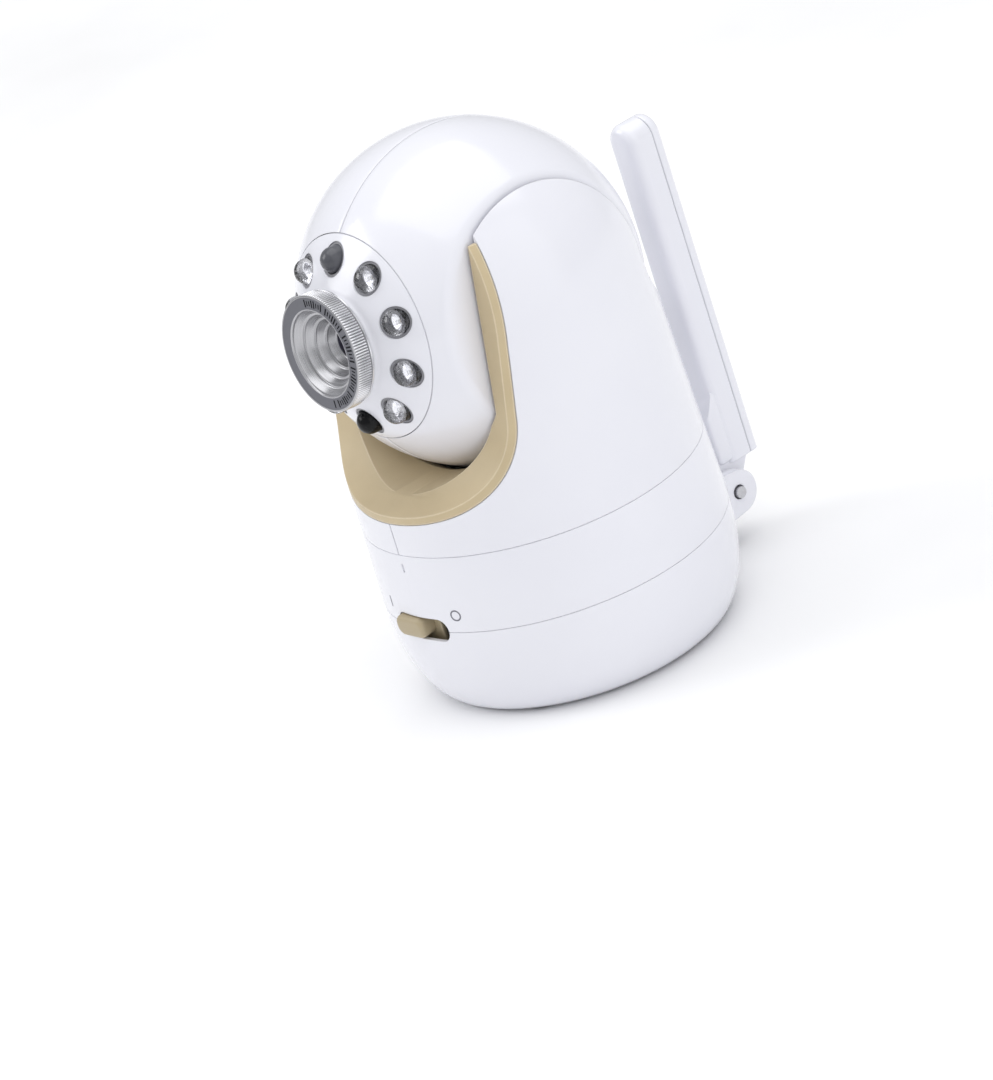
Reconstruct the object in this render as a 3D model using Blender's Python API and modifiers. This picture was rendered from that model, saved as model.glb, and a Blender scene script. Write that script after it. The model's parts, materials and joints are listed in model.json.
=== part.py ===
"""A pan and tilt baby monitor camera: a round base, a turret that pans on it, a ball head that tilts
between the turret's two ears, a screw-in lens with its hood, a ring of lamps, and a folding antenna.

Frame: +Z up, -Y is the front, and the origin is where the pan axis meets the surface it stands on.
Lengths are in metres. Run it with: blender --background --python part.py
"""

import math

import bmesh
import bpy
from mathutils import Matrix, Vector

MM = 0.001
GAP = 0.3 * MM                    # between pieces that meet face to face

# ---- driving dimensions ----
PAD_PROUD = 0.5 * MM              # the foot pad stands this far out of the base's underside
SEAM_Z = 36.5 * MM                # top of the base, where the turret turns on it
SEAM_R = 34.5 * MM                # outer radius there
PARTING_Z = 20.8 * MM             # joint line between the base's shell and its cover
PARTING_R = 35.1 * MM
WALL = 2.0 * MM
DECK_DROP, DECK_T = 0.6 * MM, 1.6 * MM   # the deck inside the base's rim
PAD_R, PAD_RECESS = 22.0 * MM, 1.6 * MM  # foot pad, and the height of the recess that it sits in
FAR = 40 * MM                     # further out than any outer surface, for cutters
ABOVE = 120 * MM                  # higher than the whole object

HEAD_Z = SEAM_Z + 38.9 * MM       # tilt axis
DOME_R = 33.3 * MM                # outer radius of the turret's ears
HEAD_R = 33.3 * MM
HEAD_ROOM = 0.8 * MM              # gap round the ball where it turns
HEAD_HALF = 23.5 * MM             # half width of the head between the ears
HEAD_SHOULDER = 2.6 * MM          # rounding where the ball meets its flat sides
EAR_X = 24.3 * MM                 # inner face of each ear
EAR_WALL = 1.6 * MM
REST_TILT = math.radians(-7.2)    # the lens looks 7.2 degrees above level at rest
AXLE_R, AXLE_BORE_R = 4.0 * MM, 2.4 * MM
AXLE_ROOM_R = AXLE_R + GAP

BEZEL_T = 1.3 * MM
BEZEL_LEAN = math.radians(10.3)   # the ears' front edges lean back by this much
BEND_R = 22.0 * MM                # the bezel bends forwards below them
BEND_END = math.radians(75)
LIP_Y, LIP_Z = -34.3 * MM, SEAM_Z + 6.5 * MM
MOUTH_HALF = 24.1 * MM            # half width of the bezel's opening
MOUTH_BOTTOM = SEAM_Z + 10.4 * MM
MOUTH_ROUND = 20.0 * MM           # height of the opening's elliptical lower end
TUNNEL_T = 1.5 * MM
TUNNEL_BACK = -14.0 * MM

PLATE_R = 20.1 * MM               # the round front plate that holds the lamps
LAMP_COUNT = 10
LAMP_RING_R = 15.9 * MM
LAMP_R = 2.5 * MM
LAMP_HOLE_R = 3.0 * MM
LAMP_TIP = 31.6 * MM              # distance of a lamp's tip from the tilt axis
LAMP_FOOT = 23.6 * MM
COLLAR_R, PLATE_START_R = 11.0 * MM, 13.2 * MM
BOARD_T = 1.2 * MM

HOOD_R = 11.5 * MM
HOOD_FRONT = 36.7 * MM            # distances along the lens axis from the tilt axis
HOOD_BACK = 32.9 * MM
HOOD_SPIGOT_R = 7.4 * MM
HOOD_SPIGOT_END = 29.3 * MM
HOOD_MOUTH_R = 8.0 * MM
HOOD_APERTURE_R = 3.0 * MM
HOOD_STEPS = 4
COLLAR_TOP = 32.6 * MM
BARREL_R = 5.6 * MM
BARREL_FRONT, BARREL_BACK = 29.0 * MM, 15.0 * MM
GLASS_R, GLASS_TIP, GLASS_BACK = 4.3 * MM, 28.6 * MM, 26.9 * MM

SWITCH_HALF, SWITCH_HIGH = 7.5 * MM, 4.8 * MM
SWITCH_Z = PARTING_Z + 0.2 * MM   # height of the slot's middle
THIN_WALL_R = 34.2 * MM           # inside of the thin wall round the slot
FLANGE_FRONT, FLANGE_T = -32.6 * MM, 1.0 * MM
KNOB_HALF, KNOB_HIGH, KNOB_X = 4.1 * MM, 4.2 * MM, -2.9 * MM
KNOB_FRONT = -36.0 * MM

ANTENNA_HALF = 3.8 * MM
ANTENNA_FRONT, ANTENNA_PART, ANTENNA_BACK = 43.6 * MM, 49.2 * MM, 51.6 * MM
ANTENNA_TOP = SEAM_Z + 52.6 * MM
PIVOT_Y, PIVOT_Z = 42.0 * MM, 11.0 * MM
KNUCKLE_R, PIN_R = 4.4 * MM, 1.2 * MM

MODULE = 0.8 * MM                 # gear teeth
PAN_TEETH, PAN_PINION_TEETH = 40, 10
TILT_TEETH, TILT_PINION_TEETH = 24, 10
TILT_MESH = math.radians(150)     # where the tilt pinion sits, from straight up towards the back
MESH_SLACK = 0.14 * MM

ROUND = 40                        # sides of a large turned piece
SMALL = 16                        # and of a small one

COLOURS = {
    "white_gloss": ((0.86, 0.87, 0.90), 0.22, 0.0),
    "tan_satin": ((0.56, 0.47, 0.31), 0.45, 0.0),
    "aluminium": ((0.62, 0.62, 0.65), 0.30, 1.0),
    "lamp_clear": ((0.60, 0.62, 0.66), 0.08, 0.0),
    "sensor_grey": ((0.16, 0.17, 0.19), 0.12, 0.0),
    "sensor_black": ((0.02, 0.02, 0.02), 0.12, 0.0),
    "lens_black": ((0.015, 0.015, 0.018), 0.35, 0.0),
    "glass": ((0.05, 0.06, 0.09), 0.03, 0.0),
    "rubber_grey": ((0.10, 0.10, 0.11), 0.80, 0.0),
    "board_green": ((0.04, 0.22, 0.10), 0.50, 0.0),
    "steel": ((0.55, 0.55, 0.57), 0.35, 1.0),
    "nylon": ((0.80, 0.79, 0.74), 0.50, 0.0),
    "dark_plastic": ((0.05, 0.05, 0.05), 0.50, 0.0),
}


# ---- scene helpers ----
def clear_scene():
    for obj in list(bpy.data.objects):
        bpy.data.objects.remove(obj)


def make_collection(name):
    group = bpy.data.collections.new(name)
    bpy.context.scene.collection.children.link(group)
    return group


clear_scene()
PARTS = make_collection("baby_monitor_camera")


def material(name):
    found = bpy.data.materials.get(name)
    if found:
        return found
    colour, roughness, metallic = COLOURS[name]
    made = bpy.data.materials.new(name)
    made.use_nodes = True
    shader = made.node_tree.nodes["Principled BSDF"]
    shader.inputs["Base Color"].default_value = (*colour, 1)
    shader.inputs["Roughness"].default_value = roughness
    shader.inputs["Metallic"].default_value = metallic
    return made


def add_object(name, data):
    obj = bpy.data.objects.new(name, data)
    PARTS.objects.link(obj)
    return obj


def from_bmesh(name, bm):
    bmesh.ops.recalc_face_normals(bm, faces=bm.faces)
    mesh = bpy.data.meshes.new(name)
    bm.to_mesh(mesh)
    bm.free()
    return add_object(name, mesh)


def apply_modifiers(obj):
    """Replaces the object by a mesh object with its modifiers or curve evaluated, welded and facing out."""
    bpy.context.view_layer.update()
    seen = obj.evaluated_get(bpy.context.evaluated_depsgraph_get())
    mesh = bpy.data.meshes.new_from_object(seen)
    name, matrix = obj.name, obj.matrix_world.copy()
    bpy.data.objects.remove(obj)
    bm = bmesh.new()
    bm.from_mesh(mesh)
    bpy.data.meshes.remove(mesh)
    bmesh.ops.remove_doubles(bm, verts=bm.verts, dist=1e-6)
    made = from_bmesh(name, bm)
    made.name = name
    made.matrix_world = matrix
    return made


def join(obj, *others, operation="UNION"):
    """A Boolean of obj with each of the others in turn, which are used up."""
    for other in others:
        modifier = obj.modifiers.new("join", "BOOLEAN")
        modifier.operation = operation
        modifier.object = other
        obj = apply_modifiers(obj)
        bpy.data.objects.remove(other)
    return obj


def cut(obj, *cutters):
    return join(obj, *cutters, operation="DIFFERENCE")


def keep_inside(obj, *regions):
    return join(obj, *regions, operation="INTERSECT")


def copy_of(obj, name):
    return add_object(name, obj.data.copy())


def finish(obj, name, material_name, parent):
    """Names and paints a piece, shades it smooth across shallow edges, and hangs it on its body's empty."""
    obj.name = name
    obj.data.name = name
    obj.data.materials.clear()
    obj.data.materials.append(material(material_name))
    obj.data.shade_smooth()
    obj.data.set_sharp_from_angle(angle=math.radians(35))
    obj.parent = parent
    return obj


def axis_empty(name, location=(0, 0, 0), rotation=(0, 0, 0), parent=None):
    empty = add_object(name, None)
    empty.location = location
    empty.rotation_euler = rotation
    empty.parent = parent
    return empty


# ---- shapes ----
def box(low, high):
    low, high = Vector(low), Vector(high)
    bm = bmesh.new()
    bmesh.ops.create_cube(bm, size=1)
    bmesh.ops.scale(bm, vec=high - low, verts=bm.verts)
    bmesh.ops.translate(bm, vec=(low + high) / 2, verts=bm.verts)
    return from_bmesh("box", bm)


def rod(start, end, radius, sides=SMALL, end_radius=None):
    """A cylinder, or a cone when end_radius is given, from one point to another."""
    start, end = Vector(start), Vector(end)
    turn = (end - start).to_track_quat("Z", "Y").to_matrix().to_4x4()
    bm = bmesh.new()
    bmesh.ops.create_cone(
        bm, cap_ends=True, segments=sides, radius1=radius,
        radius2=radius if end_radius is None else end_radius, depth=(end - start).length,
        matrix=Matrix.Translation((start + end) / 2) @ turn)
    return from_bmesh("rod", bm)


def ball(centre, radius, sides=ROUND):
    bm = bmesh.new()
    bmesh.ops.create_uvsphere(bm, u_segments=sides, v_segments=sides // 2, radius=radius,
                              matrix=Matrix.Translation(centre))
    return from_bmesh("ball", bm)


def turned(profile, ring=False, sides=ROUND):
    """A profile of (radius, height) points turned about Z. It ends on the axis, or is a closed ring."""
    count = len(profile)
    mesh = bpy.data.meshes.new("profile")
    edges = [(i, i + 1) for i in range(count - 1)] + ([(count - 1, 0)] if ring else [])
    mesh.from_pydata([(r, 0, z) for r, z in profile], edges, [])
    obj = add_object("turned", mesh)
    screw = obj.modifiers.new("turn", "SCREW")
    screw.steps = sides
    screw.render_steps = sides
    screw.use_merge_vertices = True
    screw.merge_threshold = 1e-6
    return apply_modifiers(obj)


def extruded(outline, low, high, along):
    """A flat outline pushed along X, Y or Z, where its points are (y, z), (x, z) or (x, y)."""
    curve = bpy.data.curves.new("outline", "CURVE")
    curve.dimensions = "2D"
    curve.fill_mode = "BOTH"
    curve.extrude = (high - low) / 2
    spline = curve.splines.new("POLY")
    spline.points.add(len(outline) - 1)
    for point, (a, b) in zip(spline.points, outline):
        point.co = (a, b, 0, 1)
    spline.use_cyclic_u = True
    obj = add_object("extruded", curve)
    middle = (high + low) / 2
    turns = {
        "X": Matrix(((0, 0, 1, middle), (1, 0, 0, 0), (0, 1, 0, 0), (0, 0, 0, 1))),
        "Y": Matrix(((1, 0, 0, 0), (0, 0, -1, middle), (0, 1, 0, 0), (0, 0, 0, 1))),
        "Z": Matrix.Translation((0, 0, middle)),
    }
    made = apply_modifiers(obj)
    made.data.transform(turns[along])
    return made


def tube(start, end, outer, inner, sides=SMALL):
    """A round sleeve between two points."""
    start, end = Vector(start), Vector(end)
    beyond = (end - start).normalized() * MM
    return cut(rod(start, end, outer, sides), rod(start - beyond, end + beyond, inner, sides))


def arc(centre, radius, first, last, count):
    """Points (a, b) on a circle, from one angle to another in degrees, 0 along the first axis."""
    angles = [math.radians(first + (last - first) * i / (count - 1)) for i in range(count)]
    return [(centre[0] + radius * math.cos(a), centre[1] + radius * math.sin(a)) for a in angles]


def gear(teeth, low, high, bore, turn=0.0, centre=(0.0, 0.0)):
    """A spur gear about Z with straight-sided teeth, one tooth centred on the angle turn."""
    pitch_r = teeth * MODULE / 2
    share = 2 * math.pi / teeth
    outline = []
    for i in range(teeth):
        for radius, half in ((pitch_r - 1.15 * MODULE, -0.30), (pitch_r + 0.85 * MODULE, -0.10),
                             (pitch_r + 0.85 * MODULE, 0.10), (pitch_r - 1.15 * MODULE, 0.30)):
            angle = turn + (i + half) * share
            outline.append((centre[0] + radius * math.cos(angle), centre[1] + radius * math.sin(angle)))
    blank = extruded(outline, low, high, "Z")
    hole = rod((*centre, low - MM), (*centre, high + MM), bore)
    return cut(blank, hole)


def screw_piece(x, y, low, high, head_r, head_high, shank_r):
    """A pan-head screw standing on Z with its head at the bottom and a cross-slot in it."""
    head = turned([(0, low + head_high), (head_r, low + head_high), (head_r, low + 0.3 * MM),
                   (head_r - 0.3 * MM, low), (0, low)], sides=16)
    shank = rod((0, 0, low + head_high - 0.2 * MM), (0, 0, high), shank_r, 12)
    slot_half, slot_wide, deep = 0.62 * head_r, 0.25 * MM, 0.5 * MM
    slots = [box((-a, -b, low - MM), (a, b, low + deep)) for a, b in
             ((slot_half, slot_wide), (slot_wide, slot_half))]
    made = cut(join(head, shank), *slots)
    made.data.transform(Matrix.Translation((x, y, 0)))
    return made


# ---- surfaces that several pieces share ----
def turret_solid(inset, bottom):
    """The turret's outer form, cone below and dome above, taken in by inset and closed flat at bottom."""
    radius = DOME_R - inset
    dome = [(radius * math.sin(math.radians(a)), HEAD_Z + radius * math.cos(math.radians(a)))
            for a in range(0, 91, 9)]
    slope = (SEAM_R - DOME_R) / (HEAD_Z - SEAM_Z)
    foot = (SEAM_R - inset + slope * (SEAM_Z - bottom), bottom)
    return turned([*dome, foot, (0, bottom)])


def sheet_line(offset):
    """The bezel's back face from the side, as (y, z) points from the top down, moved forwards by offset."""
    radius = BEND_R - offset
    bend = [BEZEL_LEAN + (BEND_END - BEZEL_LEAN) * i / 9 for i in range(10)]
    centre_y = LIP_Y - BEND_R * math.cos(BEND_END)
    centre_z = LIP_Z + BEND_R * math.sin(BEND_END)
    curve = [(centre_y + radius * math.cos(a), centre_z - radius * math.sin(a)) for a in bend]
    rise = HEAD_Z + 40 * MM - curve[0][1]
    top = (curve[0][0] + rise * math.tan(BEZEL_LEAN), curve[0][1] + rise)
    run = 12 * MM
    front = (curve[-1][0] - run, curve[-1][1] - run / math.tan(BEND_END))
    return [top, *curve, front]


def in_front_of_sheet(offset):
    """Everything in front of and above the sheet."""
    line = sheet_line(offset)
    return extruded([*line, (line[-1][0], line[0][1])], -40 * MM, 40 * MM, "X")


def mouth_prism(grow, front, back):
    """The U of the bezel's opening, made larger by grow and pushed from front to back."""
    half = MOUTH_HALF + grow
    low = MOUTH_BOTTOM - grow
    centre = MOUTH_BOTTOM + MOUTH_ROUND
    high = HEAD_Z + 40 * MM
    curve = [(half * math.cos(math.radians(a)), centre - (centre - low) * math.sin(math.radians(a)))
             for a in range(0, 181, 12)]
    return extruded([(half, high), *curve, (-half, high)], front, back, "Y")


def head_clearance():
    """The room that the ball turns in, between the ears."""
    return keep_inside(ball((0, 0, HEAD_Z), HEAD_R + HEAD_ROOM),
                       box((-EAR_X, -FAR, 0), (EAR_X, FAR, ABOVE)))


def half_of(shell, side):
    """The left (-1) or right (1) half of a shell that is split at X = 0."""
    near, far = sorted((-side * FAR, side * GAP / 2))
    return cut(copy_of(shell, "half"), box((near, -ABOVE, -ABOVE), (far, ABOVE, ABOVE)))


# ---- base ----
BASE_SCREW_RING = 26 * MM
BASE_SCREWS = [(BASE_SCREW_RING * math.cos(a), BASE_SCREW_RING * math.sin(a))
               for a in map(math.radians, (60, 180, 300))]
SCREW_HOLE_R, SCREW_SINK_R = 1.5 * MM, 2.7 * MM
PAN_CENTRE = (PAN_TEETH + PAN_PINION_TEETH) * MODULE / 2 + MESH_SLACK
DECK_HOLE_R = 12.3 * MM
JACK_X = -11 * MM                 # power inlet, at the back
BUTTON_Y = 25.2 * MM              # pair button, under the front
BUTTON_HOLE_R = 2.2 * MM


def switch_opening():
    """The stadium-shaped slot that the power slider works in, cut through the front wall."""
    half, round_r = SWITCH_HALF, SWITCH_HIGH / 2
    right = arc((half - round_r, SWITCH_Z), round_r, -90, 90, 7)
    left = arc((-half + round_r, SWITCH_Z), round_r, 90, 270, 7)
    return extruded([*right, *left], -FAR, -28 * MM, "Y")


def switch_pocket():
    """The room behind the slot that the slider's flange moves in, where the wall is thin."""
    half, low, high = 9.4 * MM, PARTING_Z - 4.2 * MM, PARTING_Z + 4.2 * MM
    return keep_inside(rod((0, 0, low), (0, 0, high), THIN_WALL_R, ROUND),
                       box((-half, -FAR, low - MM), (half, -29 * MM, high + MM)))


def base_shell(parent):
    """Upper part of the base: its outer wall, the deck that the turret turns on, and three screw posts."""
    top, low = SEAM_Z - GAP, PARTING_Z + GAP / 2
    edge, rim = 0.5 * MM, 2.6 * MM
    deck = top - DECK_DROP
    deck_low = deck - DECK_T
    shell = turned([
        (DECK_HOLE_R, deck), (SEAM_R - rim - 0.4 * MM, deck), (SEAM_R - rim, top),
        (SEAM_R - edge, top), (SEAM_R, top - edge), (PARTING_R, low), (PARTING_R - WALL, low),
        (SEAM_R - WALL, deck_low), (DECK_HOLE_R, deck_low)], ring=True)
    post_r, post_low = 3.0 * MM, 6 * MM
    posts = [rod((x, y, post_low), (x, y, deck_low + MM), post_r, SMALL) for x, y in BASE_SCREWS]
    shell = join(shell, *posts)
    holes = [rod((x, y, post_low - MM), (x, y, 18 * MM), SCREW_HOLE_R, 12) for x, y in BASE_SCREWS]
    shell = cut(shell, switch_opening(), switch_pocket(), *holes)
    return finish(shell, "base_shell", "white_gloss", parent)


def base_cover(parent):
    """Lower part of the base: a bowl with a recess for the foot pad and two lugs for the antenna's pin."""
    low = PAD_PROUD
    high = PARTING_Z - GAP / 2
    outer = [(PARTING_R, high), (34.9 * MM, 16 * MM), (34.3 * MM, 11 * MM), (33.1 * MM, 6.4 * MM),
             (31.6 * MM, 3.2 * MM), (30.2 * MM, 1.3 * MM), (28.9 * MM, low)]
    recess = [(PAD_R + GAP, low), (PAD_R + GAP, PAD_RECESS), (0, PAD_RECESS)]
    inner = [(0, 2.8 * MM), (27.4 * MM, 2.8 * MM), (29.4 * MM, 4.2 * MM), (31.2 * MM, 7.4 * MM),
             (32.4 * MM, 11.6 * MM), (PARTING_R - WALL, high)]
    bowl = turned([*inner, *outer, *recess])
    lug_in, lug_out, lug_r = 3.5 * MM, 5.7 * MM, 4.5 * MM
    for side in (-1, 1):
        near, far = sorted((side * lug_in, side * lug_out))
        arm = box((near, 30.9 * MM, PIVOT_Z - lug_r), (far, PIVOT_Y, PIVOT_Z + lug_r))
        eye = rod((near, PIVOT_Y, PIVOT_Z), (far, PIVOT_Y, PIVOT_Z), lug_r)
        bowl = join(bowl, join(arm, eye))
    pin_hole = rod((-8 * MM, PIVOT_Y, PIVOT_Z), (8 * MM, PIVOT_Y, PIVOT_Z), PIN_R + GAP)
    jack_hole = box((JACK_X - 4.1 * MM, 26 * MM, 10.2 * MM), (JACK_X + 4.1 * MM, FAR, 13.8 * MM))
    cutters = [switch_opening(), switch_pocket(), pin_hole, jack_hole]
    floor_top = 5 * MM
    for x, y in BASE_SCREWS:
        cutters.append(rod((x, y, -MM), (x, y, floor_top), SCREW_HOLE_R, 12))
        cutters.append(rod((x, y, -MM), (x, y, 2.1 * MM), SCREW_SINK_R, SMALL))
    cutters.append(rod((0, -BUTTON_Y, -MM), (0, -BUTTON_Y, floor_top), BUTTON_HOLE_R, SMALL))
    return finish(cut(bowl, *cutters), "base_cover", "white_gloss", parent)


BOARD_Z = 8.2 * MM                # underside of the main board


def base_pieces(parent):
    """What the base carries, from the floor up."""
    foot_pad(parent)
    for number, (x, y) in enumerate(BASE_SCREWS, 1):
        screw = screw_piece(x, y, 0.8 * MM, 15 * MM, 2.3 * MM, 1.0 * MM, 1.1 * MM)
        finish(screw, f"base_screw_{number}", "steel", parent)
    ballast_plate(parent)
    main_board(parent)
    power_jack(parent)
    switch_body(parent)
    pan_motor(parent)
    pin = rod((-6.4 * MM, PIVOT_Y, PIVOT_Z), (6.4 * MM, PIVOT_Y, PIVOT_Z), PIN_R)
    finish(pin, "antenna_pin", "steel", parent)


def foot_pad(parent):
    edge, top = 0.4 * MM, PAD_RECESS - GAP
    pad = turned([(0, top), (PAD_R, top), (PAD_R, edge), (PAD_R - edge, 0), (0, 0)])
    finish(pad, "foot_pad", "rubber_grey", parent)


def ballast_plate(parent):
    """A steel disc on the floor of the base, with two holes to lift it by."""
    low, high, lift_x = 3.2 * MM, 6.2 * MM, 14 * MM
    holes = [rod((x, 0, low - MM), (x, 0, high + MM), 2 * MM, 12) for x in (-lift_x, lift_x)]
    finish(cut(rod((0, 0, low), (0, 0, high), 20 * MM, 32), *holes), "ballast_plate", "steel", parent)


def main_board(parent):
    """The main circuit board with its chips, a shielded radio, and a tongue over the pair button."""
    top = BOARD_Z + BOARD_T
    sunk = 0.1 * MM                                 # each chip starts this far inside the board
    board = box((-19 * MM, -19.5 * MM, BOARD_Z), (11 * MM, 19.5 * MM, top))
    tongue = box((-4 * MM, -27.6 * MM, BOARD_Z), (4 * MM, -19 * MM, top))
    tact_switch = box((-2.5 * MM, -27 * MM, 7.0 * MM), (2.5 * MM, -22 * MM, BOARD_Z + 2 * sunk))
    board = join(board, tongue, tact_switch)
    chips = [((-12, -14), (-2, -4), 1.4), ((-15, 2), (-7, 10), 1.2), ((1, -16), (7, -12), 1.8),
             ((-3, 12), (6, 17), 2.2)]              # two corners and the height, in millimetres
    for (x0, y0), (x1, y1), high in chips:
        board = join(board, box((x0 * MM, y0 * MM, top - sunk), (x1 * MM, y1 * MM, top - sunk + high * MM)))
    finish(board, "main_board", "board_green", parent)
    shield = box((-1 * MM, 0, top + GAP), (9 * MM, 9 * MM, top + 2.4 * MM))
    finish(shield, "radio_shield", "steel", parent)


def power_jack(parent):
    """The inlet's metal shell with the tongue of its socket."""
    shell = box((JACK_X - 3.9 * MM, 22 * MM, 9.8 * MM), (JACK_X + 3.9 * MM, 28.0 * MM, 14.2 * MM))
    socket = box((JACK_X - 3.2 * MM, 24 * MM, 10.6 * MM), (JACK_X + 3.2 * MM, 30 * MM, 13.4 * MM))
    tongue = box((JACK_X - 2.2 * MM, 23.5 * MM, 11.6 * MM), (JACK_X + 2.2 * MM, 27.4 * MM, 12.3 * MM))
    finish(join(cut(shell, socket), tongue), "power_jack", "steel", parent)


def switch_body(parent):
    """The slide switch behind the knob, with the channel that the knob's tang moves in."""
    body = box((-6.5 * MM, -26.2 * MM, 16.8 * MM), (6.5 * MM, -21 * MM, 24.8 * MM))
    channel = box((-5.2 * MM, -27 * MM, 19.6 * MM), (5.2 * MM, -24 * MM, 22 * MM))
    finish(cut(body, channel), "switch_body", "dark_plastic", parent)


def pan_motor(parent):
    """A round motor standing beside the pan axis, with its boss and its shaft."""
    stages = [(13 * MM, 23 * MM, 8.6 * MM, 28), (22.5 * MM, 24.6 * MM, 3 * MM, SMALL),
              (24 * MM, 32.2 * MM, 1.0 * MM, 12)]   # low, high, radius, sides
    can, boss, shaft = [rod((PAN_CENTRE, 0, low), (PAN_CENTRE, 0, high), radius, sides)
                        for low, high, radius, sides in stages]
    finish(join(can, boss, shaft), "pan_motor", "steel", parent)


def power_slider(parent):
    """The tan knob on its flange, which slides along the slot from on to off."""
    x, back, front = KNOB_X, FLANGE_FRONT + FLANGE_T / 2, KNOB_FRONT
    knob_r = 1.6 * MM
    half, high = KNOB_HALF, KNOB_HIGH / 2
    corners = [((half - knob_r, high - knob_r), 0), ((-half + knob_r, high - knob_r), 90),
               ((-half + knob_r, -high + knob_r), 180), ((half - knob_r, -high + knob_r), 270)]
    outline = []
    for (cx, cz), first in corners:
        outline += arc((x + cx, SWITCH_Z + cz), knob_r, first, first + 90, 5)
    knob = extruded(outline, front, back, "Y")
    flange_back = FLANGE_FRONT + FLANGE_T
    flange = box((x - 6 * MM, FLANGE_FRONT, PARTING_Z - 3.8 * MM),
                 (x + 6 * MM, flange_back, PARTING_Z + 3.8 * MM))
    tang = box((x - MM, flange_back - 0.2 * MM, PARTING_Z - 0.7 * MM),
               (x + MM, -24.6 * MM, PARTING_Z + 0.7 * MM))
    finish(join(knob, flange, tang), "power_slider", "tan_satin", parent)


def pair_button(parent):
    """A small round button under the base, held by a flange."""
    edge = 0.3 * MM
    button = turned([(0, 6.2 * MM), (1.2 * MM, 6.2 * MM), (1.2 * MM, 4.6 * MM), (2.8 * MM, 4.6 * MM),
                     (2.8 * MM, 3.8 * MM), (1.9 * MM, 3.8 * MM), (1.9 * MM, 1.2 * MM + edge),
                     (1.9 * MM - edge, 1.2 * MM), (0, 1.2 * MM)], sides=SMALL)
    button.data.transform(Matrix.Translation((0, -BUTTON_Y, 0)))
    finish(button, "pair_button", "tan_satin", parent)


# ---- turret ----
HUB_LOW, HUB_HIGH = SEAM_Z + 0.6 * MM, SEAM_Z + 3.0 * MM
SPIGOT_R = 12.0 * MM
TURRET_SCREWS = [(x * 28.2 * MM, y * 8 * MM) for x in (-1, 1) for y in (-1, 1)]
TURRET_SCREW_HOLE_R = 1.3 * MM
EAR_DROP = 12.5 * MM              # the turret's rear lip is this far below the tilt axis
EAR_TIPS = HEAD_Z + 17.9 * MM     # where the bezel's two arms end


def turret_shells(parent):
    """The left and right halves: outer wall, the two hollow ears and the posts for the floor's screws."""
    floor = SEAM_Z + GAP
    shell = cut(turret_solid(0, floor), turret_solid(WALL, floor - 5 * MM))
    for side in (-1, 1):
        near, far = sorted((side * EAR_X, side * (EAR_X + EAR_WALL)))
        wall = box((near, -31 * MM, HUB_HIGH + GAP), (far, 31 * MM, HEAD_Z + 30 * MM))
        shell = join(shell, keep_inside(wall, turret_solid(0.5 * MM, floor - 5 * MM)))
    posts = [rod((x, y, HUB_HIGH + GAP), (x, y, 50 * MM), 2.6 * MM, 16) for x, y in TURRET_SCREWS]
    shell = join(shell, *[keep_inside(post, turret_solid(0.5 * MM, floor)) for post in posts])
    reach = EAR_X + EAR_WALL + MM
    axle_hole = rod((-reach, 0, HEAD_Z), (reach, 0, HEAD_Z), AXLE_ROOM_R)
    holes = [rod((x, y, SEAM_Z - MM), (x, y, 47 * MM), TURRET_SCREW_HOLE_R, 12) for x, y in TURRET_SCREWS]
    shell = cut(shell, in_front_of_sheet(0), between_the_ears(), head_clearance(), axle_hole, *holes)
    shell = cut(shell, mouth_prism(TUNNEL_T + GAP, -FAR, TUNNEL_BACK + GAP), *speaker_slots())
    for name, side in (("turret_shell_left", -1), ("turret_shell_right", 1)):
        finish(half_of(shell, side), name, "white_gloss", parent)
    bpy.data.objects.remove(shell)


def between_the_ears():
    """The gap between the ears: open above the axle at the front, and deeper with round corners behind."""
    half, low, round_r = EAR_X, HEAD_Z - EAR_DROP, 9 * MM
    rear = extruded([(half, ABOVE), *arc((half - round_r, low + round_r), round_r, 0, -90, 6),
                     *arc((-half + round_r, low + round_r), round_r, -90, -180, 6), (-half, ABOVE)],
                    0, FAR, "Y")
    return join(rear, box((-half, -FAR, low + 14 * MM), (half, MM, ABOVE)))


def speaker_slots():
    """Four rows of slots in the back wall, on both sides of the joint between the halves."""
    first, pitch, high = SEAM_Z + 6.5 * MM, 2.6 * MM, 1.1 * MM
    slots = []
    for side in (-1, 1):
        for row in range(4):
            from_middle = abs(row - 1.5)
            near, far = sorted((side * 1.8 * MM, side * (7.6 - 0.9 * from_middle) * MM))
            z = first + pitch * row
            slots.append(box((near, 25 * MM, z), (far, FAR, z + high)))
    return slots


def bezel(parent):
    """The tan frame round the mouth: a bent plate flush with the turret, and a wall behind its opening."""
    front = GAP + BEZEL_T
    plate = cut(turret_solid(0, SEAM_Z + GAP), in_front_of_sheet(front))
    plate = keep_inside(plate, in_front_of_sheet(GAP))
    tunnel = mouth_prism(TUNNEL_T, -FAR, TUNNEL_BACK)
    tunnel = keep_inside(tunnel, turret_solid(WALL + GAP, SEAM_Z + GAP))
    tunnel = cut(tunnel, in_front_of_sheet(front))
    frame = join(plate, tunnel)
    above_tips = box((-FAR, -FAR, EAR_TIPS), (FAR, FAR, ABOVE))
    frame = cut(frame, mouth_prism(0, -FAR - MM, MM), head_clearance(), above_tips)
    finish(frame, "mouth_bezel", "tan_satin", parent)


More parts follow.
